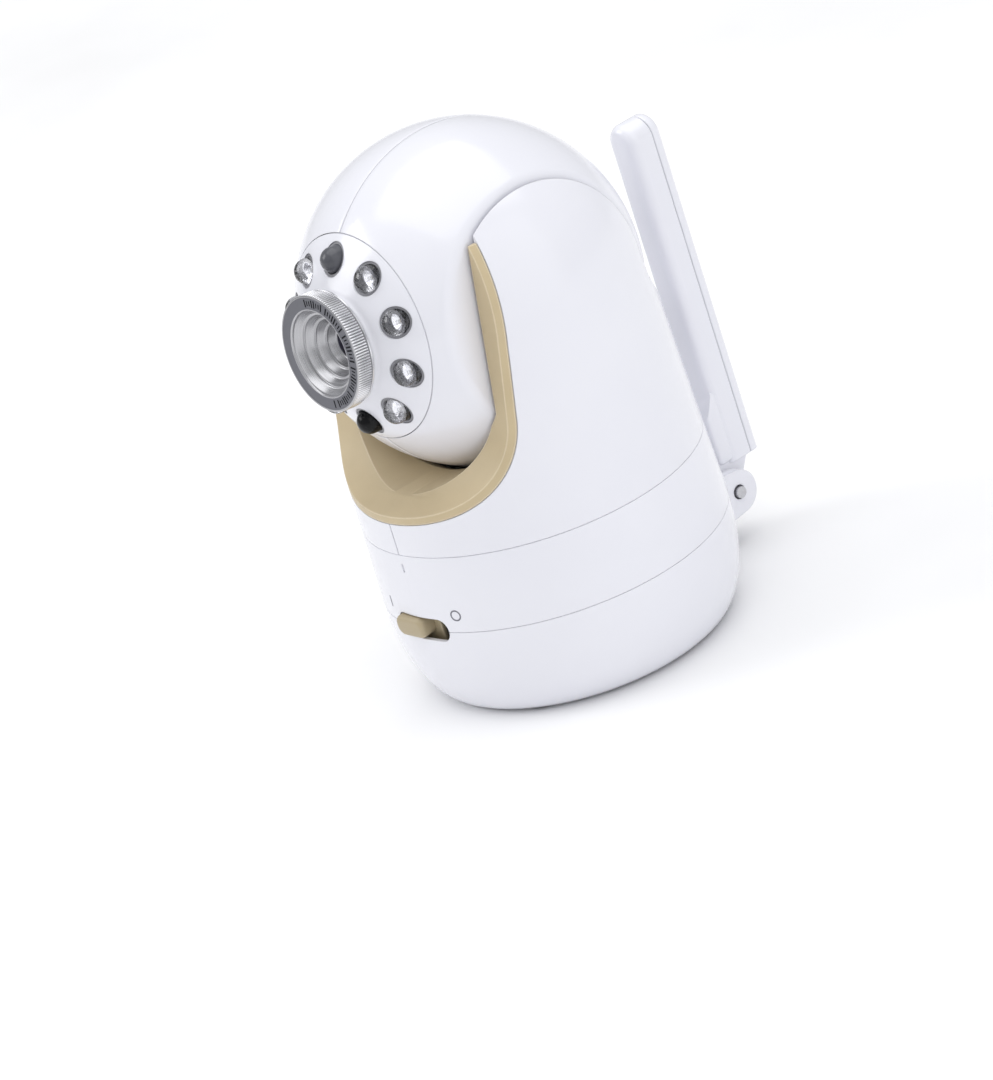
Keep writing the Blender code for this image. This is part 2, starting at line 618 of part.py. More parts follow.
def turret_pieces(parent):
    """What turns with the turret besides its shells and its bezel."""
    turret_hub(parent)
    for number, (x, y) in enumerate(TURRET_SCREWS, 1):
        screw = screw_piece(x, y, HUB_LOW + 0.1 * MM, 46 * MM, 2.0 * MM, 0.9 * MM, 1.0 * MM)
        finish(screw, f"turret_screw_{number}", "steel", parent)
    wheel = gear(PAN_TEETH, 27.5 * MM, 30.5 * MM, SPIGOT_R + GAP, turn=math.pi / PAN_TEETH)
    finish(wheel, "pan_gear", "nylon", parent)
    clip = tube((0, 0, 25.6 * MM), (0, 0, 26.6 * MM), 14.2 * MM, SPIGOT_R + GAP, 28)
    finish(clip, "pan_retainer", "steel", parent)
    for name, side in (("tilt_axle_left", -1), ("tilt_axle_right", 1)):
        tilt_axle(name, side, parent)
    gap_angle = TILT_MESH - REST_TILT
    sun = gear(TILT_TEETH, 18.3 * MM, 20.6 * MM, AXLE_ROOM_R, turn=gap_angle + math.pi / TILT_TEETH)
    sun.data.transform(Matrix.Translation((0, 0, HEAD_Z)) @ Matrix.Rotation(math.radians(-90), 4, "Y"))
    finish(sun, "tilt_gear", "nylon", parent)
    speaker(parent)


def turret_hub(parent):
    """The turret's floor, with the hollow spigot that passes through the deck of the base."""
    bore_r, floor_r, spigot_low = 8 * MM, 32 * MM, 24.4 * MM
    hub = turned([(bore_r, HUB_HIGH), (floor_r, HUB_HIGH), (floor_r, HUB_LOW), (SPIGOT_R, HUB_LOW),
                  (SPIGOT_R, spigot_low), (bore_r, spigot_low)], ring=True)
    under = HUB_LOW - MM
    bores = [rod((x, y, under), (x, y, HUB_HIGH + MM), TURRET_SCREW_HOLE_R, 12) for x, y in TURRET_SCREWS]
    seats = [rod((x, y, under), (x, y, HUB_LOW + 1.3 * MM), 2.3 * MM, SMALL) for x, y in TURRET_SCREWS]
    finish(cut(hub, *bores, *seats), "turret_hub", "nylon", parent)


def tilt_axle(name, side, parent):
    """A hollow stub axle, with its flange against the inside of the ear's outer wall."""
    inner, flange, outer = (side * x * MM for x in (17.6, 26.3, 28.2))
    axle = join(rod((inner, 0, HEAD_Z), (outer, 0, HEAD_Z), AXLE_R),
                rod((flange, 0, HEAD_Z), (outer, 0, HEAD_Z), 5.8 * MM))
    bore = rod((inner - side * MM, 0, HEAD_Z), (outer + side * MM, 0, HEAD_Z), AXLE_BORE_R, 12)
    finish(cut(axle, bore), name, "nylon", parent)


def speaker(parent):
    """A small round speaker behind the slots in the back."""
    body = turned([(0, 1.6 * MM), (2.6 * MM, 1.6 * MM), (5.6 * MM, 2.6 * MM), (6.4 * MM, 2.6 * MM),
                   (6.4 * MM, 0.6 * MM), (3.6 * MM, 0), (0, 0)], sides=24)
    body.data.transform(Matrix.Translation((0, 28.3 * MM, SEAM_Z + 10.8 * MM))
                        @ Matrix.Rotation(math.radians(-90), 4, "X"))
    finish(body, "speaker", "dark_plastic", parent)


def pan_pinion(parent):
    """The pan motor's pinion, on its own axis beside the pan gear."""
    pinion = gear(PAN_PINION_TEETH, 27.2 * MM, 30.8 * MM, 1.25 * MM, turn=math.pi)
    finish(pinion, "pan_pinion", "nylon", parent)


# ---- head, in its own frame: origin on the tilt axis, lens along -Y before the rest tilt ----
def head_solid(inset):
    """The ball with its flat sides, as a profile turned about the tilt axis X and taken in by inset."""
    radius, half = HEAD_R - inset, HEAD_HALF - inset
    shoulder = max(HEAD_SHOULDER - inset, 0.4 * MM)
    centre_x = half - shoulder
    centre_r = math.sqrt((radius - shoulder) ** 2 - centre_x ** 2)
    lean = math.degrees(math.atan2(centre_x, centre_r))
    side = arc((centre_r, centre_x), shoulder, 90, lean, 4)
    crown = [(radius * math.cos(math.radians(a)), radius * math.sin(math.radians(a)))
             for a in (lean * 0.8, lean * 0.6, lean * 0.4, lean * 0.2)]
    upper = [(0, half), *side, *crown]
    profile = [*upper, (radius, 0), *[(r, -x) for r, x in reversed(upper)]]
    made = turned(profile)
    made.data.transform(Matrix.Rotation(math.radians(90), 4, "Y"))
    return made


BUSH_R = 5.6 * MM                 # the bushes that the head turns on, pressed into its flat sides


def tilt_bushes(parent):
    for name, side in (("tilt_bush_left", -1), ("tilt_bush_right", 1)):
        bush = tube((side * 21.2 * MM, 0, 0), (side * 23.4 * MM, 0, 0), BUSH_R, AXLE_ROOM_R)
        finish(bush, name, "nylon", parent)


def head_shells(parent):
    """The left and right halves of the ball, open at the front for the round plate."""
    plate_hole = rod((0, -5 * MM, 0), (0, -FAR, 0), PLATE_R + GAP, ROUND)
    axle_hole = rod((-FAR, 0, 0), (FAR, 0, 0), BUSH_R + GAP)
    shell = cut(head_solid(0), plate_hole, axle_hole, head_solid(WALL))
    for name, side in (("head_shell_left", -1), ("head_shell_right", 1)):
        finish(half_of(shell, side), name, "white_gloss", parent)
    bpy.data.objects.remove(shell)


def tilt_drive(parent):
    """The tilt motor inside the head. Its pinion rolls round the gear that is fixed to the left ear."""
    y, z = tilt_pinion_centre()
    motor = join(rod((-16.0 * MM, y, z), (-5.5 * MM, y, z), 7.4 * MM, 28),
                 rod((-17.2 * MM, y, z), (-15.5 * MM, y, z), 2.6 * MM),
                 rod((-21.0 * MM, y, z), (-16.5 * MM, y, z), 0.9 * MM, 12))
    finish(motor, "tilt_motor", "steel", parent)


def tilt_pinion_centre():
    reach = (TILT_TEETH + TILT_PINION_TEETH) * MODULE / 2 + MESH_SLACK
    return reach * math.sin(TILT_MESH), reach * math.cos(TILT_MESH)


def tilt_pinion(parent):
    """One of its teeth points into a gap of the fixed gear at rest."""
    pinion = gear(TILT_PINION_TEETH, -1.5 * MM, 1.5 * MM, 1.15 * MM, turn=TILT_MESH + math.pi)
    pinion.data.transform(Matrix.Rotation(math.radians(-90), 4, "Y"))
    finish(pinion, "tilt_pinion", "nylon", parent)


# ---- pieces along the lens axis, in a frame whose +Z is that axis and whose +Y is up ----
def front_plate(parent):
    """The round plate flush with the ball: a collar for the hood in its middle and ten lamp holes."""
    rise = math.degrees(math.asin(PLATE_R / HEAD_R))
    start = math.degrees(math.asin(PLATE_START_R / HEAD_R))
    outer = [(HEAD_R * math.sin(math.radians(a)), HEAD_R * math.cos(math.radians(a)))
             for a in (start, start + (rise - start) * 0.35, start + (rise - start) * 0.7, rise)]
    inner_r = HEAD_R - WALL
    inner_end = math.degrees(math.asin(PLATE_R / inner_r))
    inner = [(inner_r * math.sin(math.radians(a)), inner_r * math.cos(math.radians(a)))
             for a in (inner_end, 30, 22, 15.2)]
    hole_r = HOOD_SPIGOT_R + GAP
    edge = 0.6 * MM
    collar = [(hole_r, COLLAR_TOP), (COLLAR_R - edge, COLLAR_TOP), (COLLAR_R, COLLAR_TOP - edge)]
    plate = turned([*collar, *outer, *inner, (hole_r, inner[-1][1])], ring=True)
    holes = [rod((x, y, 20 * MM), (x, y, 40 * MM), LAMP_HOLE_R) for x, y in lamp_places()]
    finish(cut(plate, *holes), "front_plate", "white_gloss", parent)


def lamp_places():
    """Centres of the ten holes, clockwise from the top as the object looks out."""
    angles = [2 * math.pi * i / LAMP_COUNT for i in range(LAMP_COUNT)]
    return [(LAMP_RING_R * math.sin(a), LAMP_RING_R * math.cos(a)) for a in angles]


def lamp_board(parent):
    """The ring-shaped circuit board that the lamps stand on."""
    top = LAMP_FOOT - GAP
    ring = tube((0, 0, top - BOARD_T), (0, 0, top), 19.2 * MM, 8.9 * MM, 32)
    finish(ring, "lamp_board", "board_green", parent)


def lamps(parent):
    """Eight infrared lamps, with a light sensor at the top of the ring and a dark one at the bottom."""
    middle = LAMP_TIP - LAMP_R
    dome = arc((0, middle), LAMP_R, 90, 0, 5)
    rim_r, rim_top = LAMP_R + 0.25 * MM, LAMP_FOOT + 0.9 * MM
    profile = [(0, LAMP_TIP), *dome[1:], (LAMP_R, rim_top), (rim_r, rim_top), (rim_r, LAMP_FOOT),
               (0, LAMP_FOOT)]
    kinds = {0: ("light_sensor", "sensor_grey"), LAMP_COUNT // 2: ("night_sensor", "sensor_black")}
    number = 0
    for place, (x, y) in enumerate(lamp_places()):
        if place not in kinds:
            number += 1
        name, paint = kinds.get(place, (f"ir_lamp_{number}", "lamp_clear"))
        lamp = turned(profile, sides=SMALL)
        lamp.data.transform(Matrix.Translation((x, y, 0)))
        finish(lamp, name, paint, parent)


def camera_core(parent):
    """The threaded holder behind the front plate and the image sensor's board under it."""
    bore_r, low = 6.0 * MM, 13.4 * MM
    holder = tube((0, 0, low), (0, 0, 28.4 * MM), 8.4 * MM, bore_r, 28)
    flange = tube((0, 0, low), (0, 0, low + 1.4 * MM), 11.4 * MM, bore_r, 28)
    finish(join(holder, flange), "lens_holder", "dark_plastic", parent)
    top, half, chip_half = low - GAP, 12 * MM, 4 * MM
    board = box((-half, -half, top - BOARD_T), (half, half, top))
    chip = box((-chip_half, -chip_half, top - 0.1 * MM), (chip_half, chip_half, top + 0.9 * MM))
    finish(join(board, chip), "sensor_board", "board_green", parent)


def lens_pieces(parent):
    """The lens barrel and its front element, which screw out with the hood."""
    seat_r, bore_r = GLASS_R + GAP, 3.2 * MM
    seat_low = GLASS_BACK - GAP
    profile = [(seat_r, BARREL_FRONT), (BARREL_R, BARREL_FRONT), (BARREL_R, BARREL_BACK),
               (bore_r, BARREL_BACK), (bore_r, seat_low - 0.7 * MM), (seat_r, seat_low)]
    barrel = turned(profile, ring=True, sides=32)
    finish(barrel, "lens_barrel", "lens_black", parent)
    crown_r = 6.7 * MM                              # radius of the front surface
    widest = math.degrees(math.asin(GLASS_R / crown_r))
    crown = [(crown_r * math.sin(math.radians(a)), GLASS_TIP - crown_r * (1 - math.cos(math.radians(a))))
             for a in (0, widest / 4, widest / 2, widest * 3 / 4, widest)]
    element = turned([*crown, (GLASS_R, GLASS_BACK), (0, GLASS_BACK)], sides=32)
    finish(element, "lens_glass", "glass", parent)


def lens_hood(parent):
    """The metal hood: a rim outside, a spigot behind, and a mouth that narrows in steps to the aperture."""
    edge = 0.25 * MM
    floor = HOOD_SPIGOT_END + 0.8 * MM
    deep = (HOOD_FRONT - floor) / HOOD_STEPS
    steps = []
    for i in range(HOOD_STEPS):
        radius = HOOD_APERTURE_R + (HOOD_MOUTH_R - HOOD_APERTURE_R) * (i + 0.55) / HOOD_STEPS
        wider = HOOD_APERTURE_R + (HOOD_MOUTH_R - HOOD_APERTURE_R) * (i + 1) / HOOD_STEPS
        top = HOOD_FRONT if i == HOOD_STEPS - 1 else floor + deep * (i + 1) - edge
        steps += [(radius, floor + deep * i), (wider, top)]
    outer = [(HOOD_R - edge, HOOD_FRONT), (HOOD_R, HOOD_FRONT - edge), (HOOD_R, HOOD_BACK + edge),
             (HOOD_R - edge, HOOD_BACK), (HOOD_SPIGOT_R, HOOD_BACK), (HOOD_SPIGOT_R, HOOD_SPIGOT_END),
             (HOOD_APERTURE_R, HOOD_SPIGOT_END), (HOOD_APERTURE_R, floor)]
    hood = turned([*outer, *steps], ring=True)
    finish(hood, "lens_hood", "aluminium", parent)


# ---- antenna, in a frame whose origin is its pivot ----
def rounded_blade(low, top, layers):
    """An upright blade with a half-round top, skinned over one outline for each (y, inset) layer."""
    bm = bmesh.new()
    loops = []
    for y, inset in layers:
        half = ANTENNA_HALF - inset
        outline = [(half, low), *arc((0, top), half, 0, 180, 13), (-half, low)]
        loops.append([bm.verts.new((x, y, z)) for x, z in outline])
    for near, far in zip(loops, loops[1:]):
        for i, corner in enumerate(near):
            bm.faces.new((near[i - 1], corner, far[i], far[i - 1]))
    bm.faces.new(loops[0])
    bm.faces.new(loops[-1])
    return from_bmesh("blade", bm)


def antenna(parent):
    """The antenna's front moulding with its knuckle, its back cover and the radiator between them."""
    low, half, edge = 16.2 * MM - PIVOT_Z, ANTENNA_HALF, 1.3 * MM
    top = ANTENNA_TOP - PIVOT_Z - half
    front_y, part_y, back_y = ANTENNA_FRONT - PIVOT_Y, ANTENNA_PART - PIVOT_Y, ANTENNA_BACK - PIVOT_Y
    rounding = [(edge - a, edge - b) for a, b in arc((0, 0), edge, 0, 90, 4)]
    front_layers = [(front_y + y, inset) for y, inset in rounding] + [(part_y - GAP / 2, 0)]
    back_layers = [(back_y - y, inset) for y, inset in rounding] + [(part_y + GAP / 2, 0)]
    front, back = rounded_blade(low, top, front_layers), rounded_blade(low, top, back_layers)
    foot = extruded([(3.7 * MM, low + 0.3 * MM), (3.7 * MM, 21 * MM), (0.9 * MM, 18.6 * MM),
                     (-0.8 * MM, 14.6 * MM), (-0.8 * MM, low + 0.3 * MM)],
                    -half + 0.3 * MM, half - 0.3 * MM, "X")
    half = 3.1 * MM
    knuckle = rod((-half, 0, 0), (half, 0, 0), KNUCKLE_R)
    heel = extruded([(-0.6 * MM, 1.7 * MM), (-0.6 * MM, 8 * MM), (6.6 * MM, 8 * MM), (6.6 * MM, 5 * MM),
                     (4.0 * MM, 1.0 * MM)], -2.8 * MM, 2.8 * MM, "X")
    front = join(front, foot, join(knuckle, heel))
    channel = box((-1.3 * MM, 4.6 * MM, 9.5 * MM), (1.3 * MM, part_y, 72 * MM))
    bore = rod((-8 * MM, 0, 0), (8 * MM, 0, 0), PIN_R + GAP)
    finish(cut(front, channel, bore), "antenna_front", "white_gloss", parent)
    finish(back, "antenna_back", "white_gloss", parent)
    wire = rod((0, 5.8 * MM, 10.5 * MM), (0, 5.8 * MM, 70 * MM), 0.8 * MM, 12)
    finish(wire, "antenna_radiator", "steel", parent)


def main():
    base = axis_empty("base_frame")
    base_shell(base)
    base_cover(base)
    base_pieces(base)
    power_slider(base)
    pair_button(base)
    turret = axis_empty("pan_axis")
    turret_shells(turret)
    bezel(turret)
    turret_pieces(turret)
    pan_pinion(axis_empty("pan_pinion_axis", (PAN_CENTRE, 0, 0)))
    head = axis_empty("tilt_axis", (0, 0, HEAD_Z), (REST_TILT, 0, 0), turret)
    head_shells(head)
    tilt_bushes(head)
    tilt_drive(head)
    tilt_pinion(axis_empty("tilt_pinion_axis", (-19.4 * MM, *tilt_pinion_centre()), (0, 0, 0), head))
    lens_axis = axis_empty("lens_axis", (0, 0, 0), (math.radians(90), 0, 0), head)
    front_plate(lens_axis)
    lamp_board(lens_axis)
    lamps(lens_axis)
    camera_core(lens_axis)
    lens_pieces(lens_axis)
    lens_hood(lens_axis)
    antenna(axis_empty("antenna_axis", (0, PIVOT_Y, PIVOT_Z)))


main()
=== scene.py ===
"""Looks of the baby monitor camera: smooth shells, knurled hood, clear lamps, materials, light and camera.

Everything is in metres in the CAD's frame: +Z up, -Y the front, origin where the pan axis meets the floor.
"""

import json
import math

import bmesh
import bpy
from mathutils import Matrix, Vector


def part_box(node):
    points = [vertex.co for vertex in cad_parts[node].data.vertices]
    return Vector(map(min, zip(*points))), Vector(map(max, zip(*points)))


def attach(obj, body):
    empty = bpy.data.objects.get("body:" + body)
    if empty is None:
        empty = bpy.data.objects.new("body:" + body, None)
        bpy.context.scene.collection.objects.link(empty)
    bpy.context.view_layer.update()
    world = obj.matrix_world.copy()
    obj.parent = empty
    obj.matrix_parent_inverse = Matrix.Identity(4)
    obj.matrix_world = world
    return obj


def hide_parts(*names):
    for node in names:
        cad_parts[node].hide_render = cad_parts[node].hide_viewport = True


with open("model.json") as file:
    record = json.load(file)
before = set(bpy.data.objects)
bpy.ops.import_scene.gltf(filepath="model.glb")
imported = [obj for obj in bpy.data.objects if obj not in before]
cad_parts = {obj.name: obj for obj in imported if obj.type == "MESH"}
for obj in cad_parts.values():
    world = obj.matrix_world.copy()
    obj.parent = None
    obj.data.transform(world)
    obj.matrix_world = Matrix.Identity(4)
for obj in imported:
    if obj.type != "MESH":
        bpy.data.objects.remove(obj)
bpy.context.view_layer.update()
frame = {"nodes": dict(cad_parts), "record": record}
RECORD = frame["record"]

MM = 0.001
GAP = 0.3 * MM                                    # between two pieces that touch
FAR, ABOVE = 40 * MM, 120 * MM                    # past the body's sides, and past its top
SEAM_GAP, SEAM_EASE = 0.04 * MM, 0.11 * MM        # fine joints between the mouldings, and their eased edges


def joint(name):
    return next(j for j in RECORD["behaviour"]["joints"] if j["name"] == name)


# ---- driving dimensions, from the frame where it has them ----
SEAM_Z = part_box("base_shell")[1].z + GAP          # where the turret turns on the base
HEAD_Z = joint("tilt")["pos_m"][2]                # tilt axis
LENS_AXIS = Vector(joint("hood_turn")["axis"])
REST_TILT = -math.asin(LENS_AXIS.z)
PIVOT_Y, PIVOT_Z = joint("antenna_fold")["pos_m"][1:]

SEAM_R, DOME_R, HEAD_R = 34.5 * MM, 33.3 * MM, 33.27 * MM
PARTING_Z, PARTING_R = 20.8 * MM, 35.1 * MM
UNDERSIDE_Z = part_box("base_cover")[0].z
WALL = 2.0 * MM
HUB_HOLE_R, DECK_DROP, DECK_T = 12.3 * MM, 0.6 * MM, 1.6 * MM
COVER_FOOT_R, COVER_FLOOR, PAD_RECESS_R, PAD_RECESS = 28.9 * MM, 2.8 * MM, 22.3 * MM, 1.6 * MM
HEAD_HALF, HEAD_SHOULDER, EAR_X, EAR_WALL = 23.5 * MM, 3.4 * MM, 24.3 * MM, 1.6 * MM
EAR_DROP = 12.5 * MM                              # the turret's rear lip is this far below the tilt axis

BEZEL_T = 1.3 * MM
BEZEL_LEAN, BEND_R, BEND_END = math.radians(10.3), 22.0 * MM, math.radians(75)
LIP_Y, LIP_Z = -34.3 * MM, SEAM_Z + 6.5 * MM
MOUTH_HALF, MOUTH_BOTTOM, MOUTH_ROUND = 24.1 * MM, SEAM_Z + 10.4 * MM, 20.0 * MM
TUNNEL_T, TUNNEL_BACK = 1.5 * MM, -14.0 * MM

PLATE_R = 20.1 * MM
LAMP_COUNT, LAMP_RING_R, LAMP_R, LAMP_HOLE_R = 10, 15.9 * MM, 2.5 * MM, 3.0 * MM
LAMP_TIP, LAMP_FOOT = 31.6 * MM, 23.6 * MM

HOOD_R, HOOD_FRONT, HOOD_BACK = 11.5 * MM, 36.7 * MM, 32.9 * MM
HOOD_SPIGOT_R, HOOD_SPIGOT_END = 7.4 * MM, 29.3 * MM
HOOD_MOUTH_R, HOOD_APERTURE_R, HOOD_STEPS = 8.4 * MM, 3.0 * MM, 4
COLLAR_TOP = 32.6 * MM
KNURLS, KNURL_DEPTH = 132, 0.12 * MM
LIP_R, FACE_R = HOOD_MOUTH_R + 0.3 * MM, HOOD_R - 0.5 * MM   # inner and outer edge of the hood's grey ring
CUP_R = 1.0 * MM                                  # mouth of the bright cup in a lamp

SWITCH_HALF, SWITCH_HIGH, SWITCH_Z = 7.5 * MM, 4.8 * MM, PARTING_Z + 0.2 * MM
THIN_WALL_R, FLANGE_FRONT, FLANGE_T = 34.2 * MM, -32.6 * MM, 1.0 * MM
PIN_HOLE_R = 1.5 * MM
ANTENNA_HALF = 3.8 * MM
ANTENNA_FRONT, ANTENNA_PART, ANTENNA_BACK = 43.6 * MM, 49.2 * MM, 51.6 * MM
ANTENNA_TOP = SEAM_Z + 52.6 * MM

BEVEL_SAMPLES = 6                                 # rays that find an edge for its rounded look
ROUND = 180                                       # sides of a large turned piece
SMALL = 48                                        # and of a small one

HEAD_FRAME = Matrix.Translation((0, 0, HEAD_Z)) @ Matrix.Rotation(REST_TILT, 4, "X")
LENS_FRAME = HEAD_FRAME @ Matrix.Rotation(math.radians(90), 4, "X")   # its +Z is the lens axis, its +Y is up
ANTENNA_FRAME = Matrix.Translation((0, PIVOT_Y, PIVOT_Z))


# ---- mesh helpers ----
def add_object(name, data):
    obj = bpy.data.objects.new(name, data)
    bpy.context.scene.collection.objects.link(obj)
    return obj


def from_bmesh(name, bm):
    bmesh.ops.recalc_face_normals(bm, faces=bm.faces)
    mesh = bpy.data.meshes.new(name)
    bm.to_mesh(mesh)
    bm.free()
    return add_object(name, mesh)


def apply_modifiers(obj):
    bpy.context.view_layer.update()
    seen = obj.evaluated_get(bpy.context.evaluated_depsgraph_get())
    mesh = bpy.data.meshes.new_from_object(seen)
    name = obj.name
    bpy.data.objects.remove(obj)
    bm = bmesh.new()
    bm.from_mesh(mesh)
    bpy.data.meshes.remove(mesh)
    bmesh.ops.remove_doubles(bm, verts=bm.verts, dist=1e-6)
    return from_bmesh(name, bm)


def join(obj, *others, operation="UNION"):
    """A Boolean of obj with each of the others in turn, which are used up."""
    for other in others:
        modifier = obj.modifiers.new("join", "BOOLEAN")
        modifier.operation = operation
        modifier.object = other
        obj = apply_modifiers(obj)
        bpy.data.objects.remove(other)
    return obj


def cut(obj, *cutters):
    return join(obj, *cutters, operation="DIFFERENCE")


def keep_inside(obj, *regions):
    return join(obj, *regions, operation="INTERSECT")


def copy_of(obj):
    return add_object("copy", obj.data.copy())


def box(low, high):
    """A box from its lowest corner to its highest."""
    low, high = Vector(low), Vector(high)
    bm = bmesh.new()
    bmesh.ops.create_cube(bm, size=1)
    bmesh.ops.scale(bm, vec=high - low, verts=bm.verts)
    bmesh.ops.translate(bm, vec=(low + high) / 2, verts=bm.verts)
    return from_bmesh("box", bm)


def rounded_box(low, high, edge):
    """A box with rounded edges."""
    made = box(low, high)
    bevel = made.modifiers.new("round", "BEVEL")
    bevel.width = edge
    bevel.segments = 3
    return apply_modifiers(made)


def rod(start, end, radius, sides=SMALL):
    start, end = Vector(start), Vector(end)
    turn = (end - start).to_track_quat("Z", "Y").to_matrix().to_4x4()
    bm = bmesh.new()
    bmesh.ops.create_cone(
        bm, cap_ends=True, segments=sides, radius1=radius, radius2=radius, depth=(end - start).length,
        matrix=Matrix.Translation((start + end) / 2) @ turn)
    return from_bmesh("rod", bm)


def ball(centre, radius, sides=ROUND):
    bm = bmesh.new()
    bmesh.ops.create_uvsphere(bm, u_segments=sides, v_segments=sides // 2, radius=radius,
                              matrix=Matrix.Translation(centre))
    return from_bmesh("ball", bm)


def turned(profile, ring=False, sides=ROUND, ripple=None):
    """A profile of (radius, height) points turned about Z.

    ripple(radius, height, angle) gives a length to add to the radius there.
    """
    bm = bmesh.new()
    rows = []
    for radius, height in profile:
        if radius < 1e-7:
            rows.append([bm.verts.new((0, 0, height))] * sides)
            continue
        row = []
        for i in range(sides):
            angle = 2 * math.pi * i / sides
            reach = radius + (ripple(radius, height, angle) if ripple else 0)
            row.append(bm.verts.new((reach * math.cos(angle), reach * math.sin(angle), height)))
        rows.append(row)
    pairs = list(zip(rows, rows[1:])) + ([(rows[-1], rows[0])] if ring else [])
    for upper, lower in pairs:
        for i in range(sides):
            j = (i + 1) % sides
            corners = list(dict.fromkeys((upper[i], upper[j], lower[j], lower[i])))
            if len(corners) > 2:
                bm.faces.new(corners)
    return from_bmesh("turned", bm)


def arc(centre, radius, first, last, count):
    """Points (a, b) on a circle, from one angle to another in degrees, 0 along the first axis."""
    angles = [math.radians(first + (last - first) * i / (count - 1)) for i in range(count)]
    return [(centre[0] + radius * math.cos(a), centre[1] + radius * math.sin(a)) for a in angles]


def filleted(points, radius, ring=False, count=5):
    """The same outline with each corner rounded. On an open outline the two ends stay."""
    made = [] if ring else [points[0]]
    last = len(points) if ring else len(points) - 1
    for i in range(0 if ring else 1, last):
        before, corner, after = (Vector(points[k % len(points)]) for k in (i - 1, i, i + 1))
        start = corner + (before - corner).normalized() * min(radius, (before - corner).length * 0.45)
        end = corner + (after - corner).normalized() * min(radius, (after - corner).length * 0.45)
        for k in range(count):
            t = k / (count - 1)
            made.append(tuple(start * (1 - t) ** 2 + corner * 2 * t * (1 - t) + end * t * t))
    return made if ring else [*made, points[-1]]


def skin_over(bm, loops):
    """Faces from each loop of points to the next, and a flat face on the first and the last."""
    for near, far in zip(loops, loops[1:]):
        for i, corner in enumerate(near):
            bm.faces.new((near[i - 1], corner, far[i], far[i - 1]))
    bm.faces.new(loops[0])
    bm.faces.new(loops[-1])


def extruded(outline, low, high, along):
    """A flat outline of (y, z) points pushed along X, or of (x, z) points pushed along Y."""
    place = {"X": lambda a, b, c: (c, a, b), "Y": lambda a, b, c: (a, c, b)}[along]
    bm = bmesh.new()
    near = [bm.verts.new(place(a, b, low)) for a, b in outline]
    far = [bm.verts.new(place(a, b, high)) for a, b in outline]
    for i in range(len(outline)):
        bm.faces.new((near[i - 1], near[i], far[i], far[i - 1]))
    bm.faces.new(near)
    bm.faces.new(far)
    return from_bmesh("extruded", bm)


def tube(start, end, outer, inner):
    start, end = Vector(start), Vector(end)
    beyond = (end - start).normalized() * MM
    return cut(rod(start, end, outer), rod(start - beyond, end + beyond, inner))


def rounded_plate(half_x, half_y, corner, sides=9):
    """Outline of a rectangle with round corners, centred on the origin."""
    outline = []
    for quarter, (sx, sy) in enumerate(((1, 1), (-1, 1), (-1, -1), (1, -1))):
        centre = (sx * (half_x - corner), sy * (half_y - corner))
        outline += arc(centre, corner, 90 * quarter, 90 * quarter + 90, sides)
    return outline


# ---- node material helpers ----
def shader_material(name, colour, roughness, metallic=0.0, **sockets):
    """A Principled material. Other sockets are given by name with underscores for spaces."""
    made = bpy.data.materials.new(name)
    made.use_nodes = True
    shader = made.node_tree.nodes["Principled BSDF"]
    shader.inputs["Base Color"].default_value = (*colour, 1)
    shader.inputs["Roughness"].default_value = roughness
    shader.inputs["Metallic"].default_value = metallic
    for socket, value in sockets.items():
        shader.inputs[socket.replace("_", " ")].default_value = value
    return made


def noise(material, scale, detail=3.0):
    """A noise texture in object space, whose scale counts features in a metre."""
    nodes, links = material.node_tree.nodes, material.node_tree.links
    where = nodes.new("ShaderNodeTexCoord")
    texture = nodes.new("ShaderNodeTexNoise")
    texture.inputs["Scale"].default_value = scale
    texture.inputs["Detail"].default_value = detail
    links.new(where.outputs["Object"], texture.inputs["Vector"])
    return texture.outputs["Fac"]


def lathe_radius(material):
    """The distance from the piece's own Z axis, and its height along it."""
    nodes, links = material.node_tree.nodes, material.node_tree.links
    where = nodes.new("ShaderNodeTexCoord")
    flat = nodes.new("ShaderNodeVectorMath")
    flat.operation = "MULTIPLY"
    flat.inputs[1].default_value = (1, 1, 0)
    links.new(where.outputs["Object"], flat.inputs[0])
    radius = nodes.new("ShaderNodeVectorMath")
    radius.operation = "LENGTH"
    links.new(flat.outputs["Vector"], radius.inputs[0])
    parts = nodes.new("ShaderNodeSeparateXYZ")
    links.new(where.outputs["Object"], parts.inputs["Vector"])
    return radius.outputs["Value"], parts.outputs["Z"]


def lathe_lines(material, scale):
    """A noise in rings round the piece's own axis, as a lathe tool leaves them."""
    nodes, links = material.node_tree.nodes, material.node_tree.links
    radius, height = lathe_radius(material)
    joined = nodes.new("ShaderNodeCombineXYZ")
    links.new(radius, joined.inputs["X"])
    links.new(height, joined.inputs["Y"])
    texture = nodes.new("ShaderNodeTexNoise")
    texture.noise_dimensions = "2D"
    texture.inputs["Scale"].default_value = scale
    texture.inputs["Detail"].default_value = 3.0
    links.new(joined.outputs["Vector"], texture.inputs["Vector"])
    return texture.outputs["Fac"]


def spread(material, source, low, high, from_low=0.3, from_high=0.7):
    """Maps a texture's grey values onto a range."""
    node = material.node_tree.nodes.new("ShaderNodeMapRange")
    node.inputs["From Min"].default_value = from_low
    node.inputs["From Max"].default_value = from_high
    node.inputs["To Min"].default_value = low
    node.inputs["To Max"].default_value = high
    material.node_tree.links.new(source, node.inputs["Value"])
    return node.outputs["Result"]


